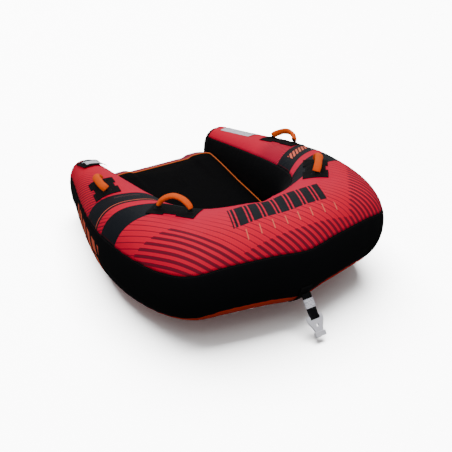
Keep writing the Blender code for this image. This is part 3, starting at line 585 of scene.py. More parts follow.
def zip_tape():
    """Woven tape with a row of black teeth along its middle."""
    paint = Paint("zip_tape", (0.006, 0.006, 0.007), 0.8, specular=0.2)
    x, _, z = paint.place()
    middle = (z - 0.08).size().below(0.0032, 0.0004)
    paint.raise_by(middle * x.cycle(0.0024).between(0.2, 0.75, 0.1), 0.0006)
    paint.raise_by((z + x * 0.3).wave(0.0018), 0.00012)
    paint.vary(0.01, 0.2)
    return paint.done()


# ---------------------------------------------------------------- vectors
def unit(vectors):
    """Vectors, in the last axis, scaled to length one."""
    return vectors / (np.linalg.norm(vectors, axis=-1, keepdims=True) + 1e-12)


def left_of(headings):
    """Plan directions turned a quarter turn to the left."""
    return np.stack([-headings[:, 1], headings[:, 0]], -1)


def run_lengths(points, axis=0):
    """Distance gone along one axis of a grid of points, from zero."""
    steps = np.linalg.norm(np.diff(points, axis=axis), axis=-1)
    start = np.zeros_like(np.take(steps, [0], axis))
    return np.concatenate([start, np.cumsum(steps, axis)], axis)


# ---------------------------------------------------------------- hull surface
def along(values, q, odd=False):
    """Smooth curve through one value per key station; odd changes sign across the bow."""
    keys = np.array((-KEYS[1],) + KEYS)
    levels = np.array((-values[1] if odd else values[1],) + tuple(values))
    slopes = np.gradient(levels, keys)
    q = np.asarray(q, float)
    k = np.clip(np.searchsorted(keys, q, side="right") - 1, 0, len(keys) - 2)
    width = keys[k + 1] - keys[k]
    s = (q - keys[k]) / width
    start = (2 * s**3 - 3 * s**2 + 1) * levels[k] + (s**3 - 2 * s**2 + s) * slopes[k] * width
    end = (3 * s**2 - 2 * s**3) * levels[k + 1] + (s**3 - s**2) * slopes[k + 1] * width
    return start + end


def outlines(q):
    """The hull's outer and inner plan points on the right half, in the last axis."""
    outer = np.stack([along(OUTER_X, q, odd=True), along(OUTER_Y, q)], -1)
    inner = np.stack([along(INNER_X, q, odd=True), along(INNER_Y, q)], -1)
    return outer, inner


def end_heading():
    """Direction in plan in which the right arm runs at its end."""
    return unit(sum(outlines(1.0)) - sum(outlines(0.98)))


def hull_surface(t, angle):
    """Points of the cover's outside, for arrays of stations and angles of one shape."""
    q = np.minimum(np.abs(t), 1.0)
    dome = np.maximum(np.abs(t) - 1.0, 0.0)
    scale = np.sqrt(np.maximum(0.0, 1.0 - dome**END_POWER))
    outer, inner = outlines(q)
    half = (outer - inner) / 2 * scale[..., None]
    centre = (outer + inner) / 2 + end_heading() * (END_LENGTH * dome)[..., None]
    low = along(KEEL_Z, q)
    high = along(CREST_Z, q)
    widest = low + (high - low) * WIDEST_AT
    cosine = np.cos(np.radians(angle))
    sine = np.sin(np.radians(angle))
    power = np.where(sine >= 0, UPPER_POWER, along(LOWER_POWER, q))
    reach = np.sign(cosine) * np.abs(cosine) ** (2 / power)
    lift = np.sign(sine) * np.abs(sine) ** (2 / power)
    height = np.where(sine >= 0, high - widest, widest - low)
    plan = centre + half * reach[..., None]
    side = np.where(t >= 0, 1.0, -1.0)
    return np.stack([side * plan[..., 0], plan[..., 1], widest + height * lift * scale], -1)


def hull_middle(t):
    """Middle of the section at each station."""
    return (hull_surface(t, np.zeros_like(t)) + hull_surface(t, np.full_like(t, 180.0))) / 2


def run_table():
    """Stations from the bow to past an arm's end, and the distance run to each."""
    t = np.linspace(0.0, END_SEAM, 700)
    return t, run_lengths(hull_middle(t))


def even_stations(step):
    """Stations between the two end seams, evenly spaced along the tube."""
    t, runs = run_table()
    count = round(runs[-1] / step)
    right = np.interp(np.linspace(0.0, runs[-1], count + 1), runs, t)
    return np.concatenate([-right[:0:-1], right])


def run_at(t):
    """Signed distance from the bow's centre along the tube."""
    table, runs = run_table()
    return np.sign(t) * np.interp(np.abs(t), table, runs)


def ripple(place, pitch, seed):
    """A smooth random wave along a line, about -1 to 1."""
    random = np.random.default_rng(seed)
    total = np.zeros_like(place)
    for _ in range(5):
        total += np.sin(place * (2 * np.pi / (pitch * random.uniform(0.7, 1.6))) + random.uniform(0, 7))
    return total / 3.0


def slack(points):
    """Broad, shallow unevenness of the inflated cover."""
    waves = [ripple(points @ np.array(axis), SLACK_PITCH, seed) for axis, seed in (
        ((1.0, 0.3, 0.2), 11), ((-0.4, 1.0, 0.3), 12), ((0.2, -0.5, 1.0), 13))]
    return SLACK_DEPTH * sum(waves) / 3.0


def seam_relief(distance, run, seed):
    """Depth of the dip and the puckers beside a seam."""
    dip = -SEAM_DIP * np.exp(-(distance / SEAM_DIP_REACH) ** 2)
    pucker = PUCKER_DEPTH * ripple(run, PUCKER_PITCH, seed) * np.exp(-distance / PUCKER_REACH)
    return dip + pucker


def grid_normals(points, middle):
    """Unit normals of a grid of points, all turned away from the middle of their own row."""
    down = np.gradient(points, axis=0)
    across = np.gradient(points, axis=1)
    normals = unit(np.cross(down, across))
    facing = np.sign(np.sum(normals * (points - middle), axis=(1, 2), keepdims=True))
    return normals * facing


# ---------------------------------------------------------------- mesh helpers
def add_piece(name, mesh, material):
    """Link a mesh into the scene with one material and smooth shading."""
    piece = bpy.data.objects.new(name, mesh)
    bpy.context.scene.collection.objects.link(piece)
    mesh.materials.append(material)
    mesh.polygons.foreach_set("use_smooth", [True] * len(mesh.polygons))
    return piece


def mark_points(mesh, marks):
    """Store named values, or vectors, on a mesh's points."""
    for name, values in marks.items():
        values = np.asarray(values, np.float32)
        kind, field = ("FLOAT", "value") if values.ndim == 1 else ("FLOAT_VECTOR", "vector")
        mesh.attributes.new(name, kind, "POINT").data.foreach_set(field, values.ravel())


def modify(piece, name, kind, **settings):
    """Give a piece a modifier."""
    modifier = piece.modifiers.new(name, kind)
    for key, value in settings.items():
        setattr(modifier, key, value)


def grid_piece(name, points, material, marks=None, closed=False, keep=None, thickness=0.0,
               outward=UP, middle=None, poles=()):
    """A sheet over a grid of points, looking along outward or, if given, away from a middle.

    closed joins the last column to the first, keep says which cells stay, and each row in poles is
    closed over by a fan of triangles.
    """
    rows, columns = points.shape[:2]
    last = columns if closed else columns - 1
    row, column = np.meshgrid(np.arange(rows - 1), np.arange(last), indexing="ij")
    if keep is not None:
        row, column = row[keep], column[keep]
    first = (row * columns + column).ravel()
    second = (row * columns + (column + 1) % columns).ravel()
    faces = np.stack([first, second, second + columns, first + columns], -1).tolist()
    flat = points.reshape(-1, 3).tolist()
    for at_row in poles:
        ring = at_row * columns
        flat.append(points[at_row].mean(0).tolist())
        faces += [(len(flat) - 1, ring + k, ring + (k + 1) % columns) for k in range(columns)]
    mesh = bpy.data.meshes.new(name)
    mesh.from_pydata(flat, [], faces)
    if marks:
        mark_points(mesh, {key: pad_marks(value, len(flat)) for key, value in marks.items()})
    piece = add_piece(name, mesh, material)
    settle(mesh, outward, middle)
    if thickness:
        modify(piece, "thickness", "SOLIDIFY", thickness=thickness, offset=-1.0)
    return piece


def pad_marks(values, count):
    """A grid's values as one row per point, with the mean for each pole."""
    values = np.asarray(values, float)
    flat = values.reshape(-1) if values.ndim == 2 else values.reshape(-1, values.shape[-1])
    extra = count - len(flat)
    if extra:
        flat = np.concatenate([flat, np.repeat(flat.mean(0, keepdims=True), extra, 0)])
    return flat


def settle(mesh, outward, middle):
    """Make the faces look along outward or away from a middle, and drop points that no face uses."""
    shape = bmesh.new()
    shape.from_mesh(mesh)
    bmesh.ops.recalc_face_normals(shape, faces=shape.faces)
    face = shape.faces[:][len(shape.faces) // 2]
    wanted = Vector(outward) if middle is None else face.calc_center_median() - Vector(middle)
    if face.normal.dot(wanted) < 0:
        bmesh.ops.reverse_faces(shape, faces=shape.faces)
    loose = [v for v in shape.verts if not v.link_faces]
    bmesh.ops.delete(shape, geom=loose, context="VERTS")
    shape.to_mesh(mesh)
    shape.free()


def attach(piece, body, slot, *nodes):
    """Say which body a piece rides and the solids it stands for. The slot argument is not used."""
    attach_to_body(piece, body)
    if nodes:
        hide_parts(*nodes)


def box(node):
    """The low and high corners of a solid's box."""
    return np.array(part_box(node))


# ---------------------------------------------------------------- hull cover
def cover_seams(t):
    """Seam angles at each station: outer, inner, keel's inner, keel's outer, and outer again."""
    q = np.minimum(np.abs(t), 1.0)
    outer = along(OUTER_SEAM, q)
    inner = np.full_like(q, INNER_SEAM)
    keel_in = np.full_like(q, KEEL_SEAM_IN)
    return outer, inner, keel_in, along(KEEL_SEAM_OUT, q), outer + 360.0


def cover_panel(name, panel, columns, material, slot, *nodes):
    """One long panel of the hull's cover, between seam number panel and the next."""
    t = even_stations(PANEL_STEP)
    seams = cover_seams(t)
    share = np.linspace(0.0, 1.0, columns)
    angles = seams[panel][:, None] * (1 - share) + seams[panel + 1][:, None] * share
    stations = np.repeat(t[:, None], columns, 1)
    points = hull_surface(stations, angles)
    from_first = run_lengths(points, axis=1)
    from_last = from_first[:, -1:] - from_first
    run = np.repeat(run_at(t)[:, None], columns, 1)
    middle = hull_middle(t)[:, None, :]
    normals = grid_normals(points, middle)
    relief = seam_relief(from_first, run, panel) + seam_relief(from_last, run, (panel + 1) % 4)
    from_end = np.abs(run[-1, 0]) - np.abs(run)
    relief += slack(points) - SEAM_DIP * np.exp(-(from_end / SEAM_DIP_REACH) ** 2)
    marks = {
        "seam": np.minimum(np.minimum(from_first, from_last), from_end),
        "run": run + from_first * (from_end < 2 * SEAM_STITCH),
        "spread": spread(points, middle, angles, from_first),
    }
    piece = grid_piece(name, points + normals * relief[..., None], material, marks,
                       thickness=PANEL_THICKNESS, middle=hull_middle(np.zeros(1))[0])
    attach(piece, "hull", slot, *nodes)
    return piece


def spread(points, middle, angles, reach):
    """Each point's plan place as if the panel were rolled flat from its crest, and its reach."""
    crest = np.array([[np.interp(90.0, angle, gone)] for angle, gone in zip(angles, reach)])
    from_crest = np.abs(reach - crest)
    offset = points[..., :2] - middle[..., :2]
    plan = np.linalg.norm(offset, axis=-1)
    outward = offset / (plan[..., None] + 1e-9)
    flat = points[..., :2] + outward * (from_crest - plan)[..., None] * (angles < 90.0)[..., None]
    return np.concatenate([flat, reach[..., None]], -1)


def end_cover(name, side, material, node):
    """The rounded panel over an arm's end."""
    columns = 110
    first_scale = math.sqrt(1.0 - (END_SEAM - 1.0) ** END_POWER)
    scales = first_scale * np.cos(np.linspace(0.0, math.pi / 2, 26)[:-1])
    dome = (1.0 - scales**2) ** (1.0 / END_POWER)
    seams = cover_seams(np.ones(1))
    share = np.linspace(0.0, 1.0, columns, endpoint=False)
    angles = np.repeat((seams[0] + share * 360.0)[None, :], len(dome), 0)
    stations = np.repeat(side * (1.0 + dome)[:, None], columns, 1)
    points = hull_surface(stations, angles)
    middle = hull_middle(np.array([side * 1.0]))[0]
    from_seam = run_lengths(points)
    steps = np.linalg.norm(np.diff(points[0], axis=0, append=points[:1, 0]), axis=-1)
    around = np.repeat(np.cumsum(steps)[None, :], len(dome), 0)
    down = np.gradient(points, axis=0)
    across = (np.roll(points, -1, 1) - np.roll(points, 1, 1)) / 2
    normals = unit(np.cross(down, across))
    normals *= np.sign(np.sum(normals[3] * (points[3] - middle)))
    relief = slack(points) - SEAM_DIP * np.exp(-(from_seam / SEAM_DIP_REACH) ** 2)
    pucker = PUCKER_DEPTH * ripple(around, PUCKER_PITCH, 7) * np.exp(-from_seam / PUCKER_REACH)
    relief += pucker * (from_seam > 0)
    piece = grid_piece(name, points + normals * relief[..., None], material,
                       {"seam": from_seam, "run": around}, closed=True, poles=(len(dome) - 1,),
                       thickness=PANEL_THICKNESS, middle=middle)
    attach(piece, "hull", "black_cover", node)


def make_cover(paints):
    """All six panels of the hull's cover; the top one is given back, as ground for other pieces."""
    top = cover_panel("top_cover", 0, 56, paints["top"], "crimson", "top_panel", "main_bladder")
    cover_panel("inner_cover", 1, 44, paints["black"], "black_cover", "inner_side_panel")
    cover_panel("keel_cover", 2, 34, paints["keel"], "keel_orange", "keel_panel")
    cover_panel("outer_cover", 3, 46, paints["side"], "black_cover", "outer_side_panel")
    end_cover("left_end_cover", -1.0, paints["black"], "left_end_panel")
    end_cover("right_end_cover", 1.0, paints["black"], "right_end_panel")
    return top


# ---------------------------------------------------------------- pieces draped on the hull
class Ground:
    """The cover's top surface, for laying pieces on it."""

    def __init__(self, piece):
        bpy.context.view_layer.update()
        self.tree = BVHTree.FromObject(piece, bpy.context.evaluated_depsgraph_get())

    def under(self, x, y):
        """The cover's point and normal straight below a plan place."""
        place, normal, _, _ = self.tree.ray_cast(Vector((x, y, 1.0)), Vector((0.0, 0.0, -1.0)))
        return np.array(place), np.array(normal)

    def lay(self, plan, lift):
        """Points at their own lifts above the cover, for a grid of plan places."""
        laid = np.zeros(plan.shape[:2] + (3,))
        for cell in np.ndindex(plan.shape[:2]):
            place, normal = self.under(*plan[cell])
            laid[cell] = place + normal * lift[cell]
        return laid


def plan_grid(centre, run, spans, widths):
    """Plan places of a grid laid out along and across a heading."""
    run = unit(np.array(run))
    across = np.array((-run[1], run[0]))
    return np.array(centre) + spans[:, None, None] * run + widths[None, :, None] * across


def edge_marks(spans, widths, waist=None, bar=None):
    """Distance from a rectangle's edge, or from the edge of one with a notch in each long side."""
    s, w = np.meshgrid(np.abs(spans), np.abs(widths), indexing="ij")
    edge = np.minimum(spans.max() - s, widths.max() - w)
    if waist:
        neck = np.hypot(np.maximum(s - (spans.max() - bar), 0), np.maximum(waist / 2 - w, 0))
        in_neck = s < spans.max() - bar
        edge = np.where(in_neck, np.minimum(edge, waist / 2 - w), edge)
        near = (w > waist / 2) & ~in_neck
        edge = np.where(near, np.minimum(edge, s - (spans.max() - bar)), edge)
        edge = np.where((w <= waist / 2) & ~in_neck, np.minimum(edge, np.where(neck > 0, neck, edge)), edge)
    run = spans[:, None] + widths[None, :]
    return {"seam": edge, "run": run}


def fitted_line(limit, marks, step):
    """Places from -limit to limit that fall on given marks, and are otherwise a step apart."""
    stops = sorted({-limit, limit, *marks, *(-m for m in marks)})
    runs = [np.linspace(a, b, max(2, round((b - a) / step) + 1))[:-1] for a, b in zip(stops, stops[1:])]
    return np.concatenate(runs + [[limit]])


def handle_axes(joint, ground):
    """Origin and axes of a handle: X across it, Y from foot to foot, Z away from the cover.

    The third result is the same axes leaned as the handle rests; its range is even about upright.
    """
    origin = np.array(joint["pos_m"])
    feet = unit(np.array(joint["axis"]))
    _, up = ground.under(origin[0], origin[1])
    across = unit(np.cross(feet, up))
    axes = np.stack([across, feet, np.cross(across, feet)], 1)
    lean = -math.radians(sum(joint["range_deg"]) / 2)
    turn = np.array(Matrix.Rotation(lean, 3, "Y"))
    return origin, axes, axes @ turn


def make_patch(name, joint, ground, paints):
    """The notched patch under a handle, and the two gathered feet that its webbing rises from."""
    origin, axes, _ = handle_axes(joint, ground)
    spans = fitted_line(PATCH_LENGTH / 2, (PATCH_LENGTH / 2 - PATCH_BAR,), DRAPE_STEP)
    widths = fitted_line(PATCH_WIDTH / 2, (PATCH_WAIST / 2,), DRAPE_STEP)
    plan = plan_grid(origin[:2], axes[:2, 1], spans, widths)
    s_mid = np.abs((spans[1:] + spans[:-1]) / 2)[:, None]
    w_mid = np.abs((widths[1:] + widths[:-1]) / 2)[None, :]
    keep = ~((s_mid < PATCH_LENGTH / 2 - PATCH_BAR) & (w_mid > PATCH_WAIST / 2))
    curl = 0.0010 * ripple(np.add.outer(spans, widths), 0.06, len(name))
    piece = grid_piece(name + "_patch_cloth", ground.lay(plan, PATCH_LIFT + curl), paints["webbing"],
                       edge_marks(spans, widths, PATCH_WAIST, PATCH_BAR), keep=keep,
                       thickness=PATCH_THICKNESS, outward=axes[:, 2])
    attach(piece, "hull", "webbing_black", name + "_patch")
    for end, sign in (("front", 1.0), ("rear", -1.0)):
        make_foot(f"{name}_{end}_foot", origin, axes, sign, paints)


def make_foot(name, origin, axes, sign, paints):
    """Gathered webbing that rises from the patch to one end of a handle's axis."""
    rows, columns = 12, 28
    grid = np.zeros((rows, columns, 3))
    turn = np.linspace(0, 2 * np.pi, columns, endpoint=False)
    for k, share in enumerate(np.linspace(0.0, 1.0, rows)):
        reach = FOOT_SPREAD * (1 - share) ** 0.8 + FOOT_TOP
        rise = FOOT_RISE * math.sin(share * math.pi / 2) - FOOT_DEPTH
        fold = 1.0 + 0.06 * np.sin(turn * 7) * (1 - share)
        grid[k, :, 0] = reach * 1.15 * fold * np.cos(turn)
        grid[k, :, 1] = sign * HANDLE_SPAN / 2 + reach * fold * np.sin(turn)
        grid[k, :, 2] = rise
    world = origin + grid @ axes.T
    run = np.repeat(np.arange(columns)[None, :] * 0.005, rows, 0)
    seam = np.repeat(np.linspace(0, 0.02, rows)[:, None], columns, 1)
    piece = grid_piece(name, world, paints["webbing"], {"seam": seam, "run": run}, closed=True,
                       poles=(rows - 1,), outward=axes[:, 2])
    attach(piece, "hull", "webbing_black")


def arch_tube(angles, depth, widening):
    """Rings round a handle's pointed arch, in its own axes; the sizes are rings by sides."""
    a = np.radians(angles)
    reach = np.sign(np.cos(a)) * np.abs(np.cos(a)) ** (2 / ARCH_POWER)
    rise = np.abs(np.sin(a)) ** (2 / ARCH_POWER)
    place = np.stack([np.zeros_like(a), -reach * HANDLE_SPAN / 2, rise * HANDLE_RISE], -1)
    run = unit(np.gradient(place, axis=0))
    out = np.stack([np.zeros_like(a), -run[:, 2], run[:, 1]], -1)
    turn = np.linspace(0, 2 * np.pi, depth.shape[1], endpoint=False)
    radial = out[:, None, :] * np.sin(turn)[None, :, None]
    radial = radial + np.array((1.0, 0.0, 0.0)) * (np.cos(turn) * widening)[..., None]
    return place[:, None, :] + radial * depth[..., None]


def make_core(name, origin, leaned, paints):
    """The rolled webbing inside a handle."""
    depth = np.full((60, 16), STRAP_RADIUS)
    depth[:2] *= np.array([0.45, 0.85])[:, None]
    depth[-2:] *= np.array([0.85, 0.45])[:, None]
    rings = arch_tube(np.linspace(0.0, 180.0, len(depth)), depth, np.ones_like(depth))
    return grid_piece(name + "_core", origin + rings @ leaned.T, paints["webbing_plain"], closed=True,
                      poles=(0, len(depth) - 1), middle=origin)


def make_sleeve(name, origin, leaned, paints, seed):
    """The flattened grip sleeve: creased inside its bend, and flaring to two corners at its ends."""
    sides, rings = 44, 96
    share = np.linspace(0.0, 1.0, rings)[:, None]
    turn = np.linspace(0, 2 * np.pi, sides, endpoint=False)[None, :]
    from_end = np.minimum(share, 1.0 - share) * GRIP_LENGTH
    inner_side = np.clip(-np.sin(turn), 0.0, 1.0) ** 1.3
    phase = 1.3 * ripple(turn + share * 3, 2.5, seed)
    folds = np.sin(share * 2 * np.pi * 15 + phase) * ripple(share * 5 + turn, 1.7, seed + 7)
    flare = np.exp(-(from_end / 0.011) ** 1.5)
    depth = GRIP_DEPTH * (1.0 + 0.05 * ripple(share, 0.3, seed + 3))
    crease = folds * (0.2 + 0.8 * inner_side) * np.sin(np.pi * share)
    depth = depth * (1.0 - 0.22 * flare) + GRIP_CREASE * crease
    corner = np.abs(np.cos(turn)) ** 3 * flare
    widening = GRIP_WIDENING * (1.0 + 0.18 * flare) + 0.10 * corner
    widening = widening + 0.05 * ripple(share, 0.22, seed + 5)
    depth = depth * (1.0 + 0.06 * ripple(turn * 2, 1.3, seed + 9) * np.exp(-from_end / 0.012))
    span = np.linspace(GRIP_START, 180.0 - GRIP_START, rings)
    sleeve = arch_tube(span, depth, widening)
    sway = 0.0016 * ripple(share[:, 0], 0.35, seed + 11)
    sleeve[..., 0] += sway[:, None]
    # Painted shade for the grip's colour: deepest in the creases inside the bend and at the open ends.
    painted_shade = np.clip(-folds, 0, 1) * inner_side * 0.7 + np.exp(-from_end / 0.005) * 0.55
    return grid_piece(name + "_sleeve", origin + sleeve @ leaned.T, paints["grip"],
                      {"painted_shade": np.clip(painted_shade, 0, 1)}, closed=True, middle=origin,
                      thickness=GRIP_WALL)


def make_handle(name, joint, ground, paints, seed):
    """A handle's webbing core and its wrinkled foam grip, which tilt together."""
    origin, _, leaned = handle_axes(joint, ground)
    core = make_core(name, origin, leaned, paints)
    sleeve = make_sleeve(name, origin, leaned, paints, seed)
    attach(core, name, "webbing_black", name + "_strap")
    attach(sleeve, name, "grip_orange", name + "_grip")


def make_care_label(ground, paints):
    """The long blank white label on the right arm."""
    low, high = box("care_label")
    head = np.array((LABEL_REAR_X, high[1]))
    foot = np.array((LABEL_FRONT_X, low[1]))
    run = foot - head
    length = np.linalg.norm(run)
    spans = np.linspace(-length / 2, length / 2, 52)
    widths = np.linspace(-LABEL_HALF_WIDTH, LABEL_HALF_WIDTH, 16)
    plan = plan_grid((head + foot) / 2, run, spans, widths)
    lift = LABEL_LIFT + 0.0007 * ripple(np.add.outer(spans, widths * 2), 0.05, 5)
    lift += LABEL_LIFT * (np.abs(spans) / spans.max())[:, None] ** 12
    piece = grid_piece("care_label_cloth", ground.lay(plan, lift), paints["label_marked"],
                       edge_marks(spans, widths), thickness=LABEL_THICKNESS)
    attach(piece, "hull", "label_white", "care_label")


def make_flap(ground, paints):
    """The valve's flap, tented over the cap, with curled corners and a blank label sewn on."""
    low, high = box("valve_flap")
    cap = box("hull_valve_cap").mean(0)[:2]
    centre = (low + high)[:2] / 2
    half = (high - low)[:2] / 2 + np.array((FLAP_OVERHANG, 0.0))
    spans = np.linspace(-half[1], half[1], 34)
    widths = np.linspace(-half[0], half[0], 34)
    plan = plan_grid(centre, (0.0, 1.0), spans, widths)
    laid = np.zeros(plan.shape[:2] + (3,))
    for i, j in np.ndindex(plan.shape[:2]):
        x, y = plan[i, j]
        crest = ground.under(centre[0], y)[0][2]
        drop = max(0.0, crest - ground.under(x, y)[0][2])
        tent = math.exp(-(math.hypot(x - cap[0], y - cap[1]) / FLAP_TENT_RADIUS) ** 4)
        gape = FLAP_GAPE - FLAP_GAPE_LOSS * i / (len(spans) - 1)
        laid[i, j] = (x, y, crest - FLAP_SAG * drop + gape + FLAP_TENT * tent)
    corner = np.minimum.outer(half[1] - np.abs(spans), half[0] - np.abs(widths))
    laid[..., 2] += 0.0012 * ripple(np.add.outer(spans * 1.3, widths), 0.055, 9) * np.exp(-corner / 0.02)
    flap = grid_piece("valve_flap_cloth", laid, paints["webbing"], edge_marks(spans, widths),
                      thickness=FLAP_THICKNESS)
    trim_s = np.abs(spans) < FLAP_LABEL_HALF[0]
    trim_w = np.abs(widths) < FLAP_LABEL_HALF[1]
    label_points = laid[np.ix_(trim_s, trim_w)] + np.array((0.0, 0.0, FLAP_LABEL_LIFT))
    label_marks = edge_marks(spans[trim_s], widths[trim_w])
    label = grid_piece("flap_label_cloth", label_points, paints["label"], label_marks,
                       thickness=FLAP_LABEL_THICKNESS)
    attach(flap, "valve_flap", "webbing_black", "valve_flap")
    attach(label, "valve_flap", "label_white", "flap_label")


# ---------------------------------------------------------------- tow strap and connector
def make_tow_patch(paints):
    """The black patch under the bow that the tow webbing is sewn to."""
    low, high = box("tow_patch")
    across = np.linspace(low[0], high[0], 18)
    angles = np.linspace(-62.0, -18.0, 40)
    stations = np.repeat(across[None, :] / METRES_PER_STATION, len(angles), 0)
    grid = hull_surface(stations, np.repeat(angles[:, None], len(across), 1))
    down = np.gradient(grid, axis=0)
    side = np.gradient(grid, axis=1)
    normals = unit(np.cross(down, side))
    middle_column = len(across) // 2
    normals *= -np.sign(normals[len(angles) // 2, middle_column, 1])
    spans = run_lengths(grid[:, middle_column])
    marks = edge_marks(spans - spans[-1] / 2, across)
    piece = grid_piece("tow_patch_cloth", grid + normals * PATCH_LIFT, paints["webbing"], marks,
                       thickness=PATCH_THICKNESS, outward=(0.0, -1.0, -0.3))
    attach(piece, "hull", "webbing_black", "tow_patch")


def soften(piece, voxel, smoothing):
    """Rebuild a carried-over solid finely and round its edges, without changing its own mesh."""
    modify(piece, "weld", "WELD", merge_threshold=0.00002)
    modify(piece, "fine", "REMESH", mode="VOXEL", voxel_size=voxel, use_smooth_shade=True)
    modify(piece, "round", "SMOOTH", factor=0.5, iterations=smoothing)
    modify(piece, "regrow", "DISPLACE", strength=voxel, mid_level=0.0)


def dress_frame(nodes, paints):
    """Materials, and rounded edges where they show, for the solids that stay."""
    dress = {
        "tow_connector": "plastic_white", "tow_strap": "webbing_plain", "tow_strap_label": "label_band",
        "hull_valve_body": "plastic_black", "hull_valve_cap": "plastic_black",
        "seat_valve_body": "plastic_black", "seat_valve_cap": "plastic_black",
        "seat_zip_tape": "zip", "seat_zip_slider": "metal", "seat_zip_pull": "metal",
    }
    for name, paint in dress.items():
        node = nodes[name]
        node.data.materials.clear()
        node.data.materials.append(paints[paint])
    soften(nodes["tow_connector"], 0.0011, 12)
    soften(nodes["tow_strap"], 0.0010, 3)


# ---------------------------------------------------------------- seat
def seat_outline():
    """The seat's widest plan outline, evenly spaced from the bow's centre to the right, and the run."""
    q = np.linspace(0.0, SEAT_LAST_KEY, 120)
    _, inner = outlines(q)
    side = inner + left_of(unit(np.gradient(inner, axis=0))) * SEAT_CLEARANCE
    side[0, 0] = 0.0
    corner = np.array((side[-1, 0] - SEAT_CORNER, SEAT_REAR_Y - SEAT_CORNER))
    turn = np.radians(np.linspace(0.0, 90.0, 24))[1:]
    arc = corner + SEAT_CORNER * np.stack([np.cos(turn), np.sin(turn)], -1)
    half = np.concatenate([side, arc, [(0.0, SEAT_REAR_Y)]])
    loop = np.concatenate([half, (half * (-1, 1))[-2:0:-1], half[:1]])
    lengths = run_lengths(loop)
    even = np.linspace(0.0, lengths[-1], SEAT_COLUMNS, endpoint=False)
    return np.stack([np.interp(even, lengths, loop[:, k]) for k in (0, 1)], -1), even


def seat_ring(outline, share):
    """The outline drawn in by a share of its rim's insets, but pressed out against the bow."""
    run = unit(np.roll(outline, -1, 0) - np.roll(outline, 1, 0))
    y = outline[:, 1]
    bowward = np.clip((SEAT_BOW_START_Y - y) / (SEAT_BOW_START_Y - SEAT_BOW_FULL_Y), 0.0, 1.0)
    inset = SEAT_SIDE_INSET * share * (1.0 - bowward) - SEAT_BOW_REACH * bowward
    plan = outline + left_of(run) * inset[:, None]
    rearward = np.clip((y - SEAT_REAR_START_Y) / (SEAT_REAR_Y - SEAT_REAR_START_Y), 0, None)
    plan[:, 1] -= (SEAT_REAR_INSET - SEAT_SIDE_INSET) * share * rearward**2
    return plan


def seat_top(plan):
    """Height of the seat's top: it rises to the rear, where two side tubes stand proud."""
    height = SEAT_TOP_Z + SEAT_TOP_SLOPE * plan[..., 1]
    side = np.clip((np.abs(plan[..., 0]) - SIDE_TUBE_X) / 0.030 + 0.5, 0, 1)
    rear = np.clip((plan[..., 1] - 0.25) / 0.30, 0, 1)
    return height + SIDE_TUBE_RISE * (side * side * (3 - 2 * side)) * rear


def seat_grid():
    """Rings of the closed seat, and the numbers of its base edge and rim."""
    outline, _ = seat_outline()
    rim = seat_ring(outline, 1.0)
    base = seat_ring(outline, 0.9)
    spine = np.stack([np.zeros(len(rim)), np.clip(rim[:, 1], -0.10, 0.42)], -1)
    rings = []
    for share in np.linspace(0.05, 1.0, 12)[:-1]:
        plan = spine + (base - spine) * share
        rings.append(np.concatenate([plan, np.full((len(plan), 1), 0.0010)], -1))
    profile = (
        (0.90, 0.001), (0.62, 0.004), (0.34, 0.012), (0.15, 0.024), (0.05, 0.040), (0.0, 0.058),
        (0.0, 0.078), (0.0, 0.098), (0.03, -0.075), (0.08, -0.060), (0.17, -0.043), (0.30, -0.029),
        (0.46, -0.018), (0.64, -0.009), (0.82, -0.003), (1.0, 0.0),
    )
    base_row = len(rings)
    for share, height in profile:
        plan = seat_ring(outline, share)
        top = seat_top(plan)
        z = np.where(height >= 0.0 if share < 1.0 else False, height, top + height)
        rings.append(np.concatenate([plan, np.broadcast_to(z, (len(plan),))[:, None]], -1))
    rim_row = len(rings) - 1
    for share in np.linspace(1.0, 0.05, 28)[1:]:
        plan = spine + (rim - spine) * share
        crown = 0.010 * (1.0 - share**2)
        rings.append(np.concatenate([plan, (seat_top(plan) + crown)[:, None]], -1))
    return np.array(rings), base_row, rim_row


def inflate(points, pinned):
    """Push a closed ring grid out by air pressure with a cloth simulation, and give where it ends."""
    rows, columns = points.shape[:2]
    blank = bpy.data.materials.new("blank")
    body = grid_piece("inflating", points, blank, closed=True, poles=(0, rows - 1))
    group = body.vertex_groups.new(name="pinned")
    for row, weight in pinned.items():
        group.add(list(range(row * columns, (row + 1) * columns)), weight, "REPLACE")
    cloth = body.modifiers.new("cloth", "CLOTH")
    for key, value in CLOTH.items():
        setattr(cloth.settings, key, value)
    cloth.settings.effector_weights.gravity = 0.0
    cloth.collision_settings.use_collision = False
    cloth.point_cache.frame_start = 1
    cloth.point_cache.frame_end = CLOTH_FRAMES
    scene = bpy.context.scene
    for number in range(1, CLOTH_FRAMES + 1):
        scene.frame_set(number)
    evaluated = body.evaluated_get(bpy.context.evaluated_depsgraph_get())
    moved = np.array([v.co[:] for v in evaluated.data.vertices])
    moved = moved[:rows * columns].reshape(points.shape)
    scene.frame_set(1)
    bpy.data.objects.remove(body, do_unlink=True)
    shift = moved - points
    length = np.linalg.norm(shift, axis=-1, keepdims=True)
    return points + shift * np.minimum(1.0, SEAT_SWELL / (length + 1e-9))


def make_piping(path, paints):
    """The round piping along the seat's rim."""
    run = unit(np.roll(path, -1, 0) - np.roll(path, 1, 0))
    side = unit(np.cross(run, UP))
    turn = np.linspace(0, 2 * np.pi, 12, endpoint=False)[None, :, None]
    radial = side[:, None] * np.cos(turn) + np.cross(side, run)[:, None] * np.sin(turn)
    rings = path[:, None] + PIPING_RADIUS * radial
    rings = np.concatenate([rings, rings[:1]])
    piece = grid_piece("seat_piping_cord", rings, paints["piping"], closed=True, middle=path.mean(0))
    attach(piece, "hull", "piping_orange", "seat_piping")


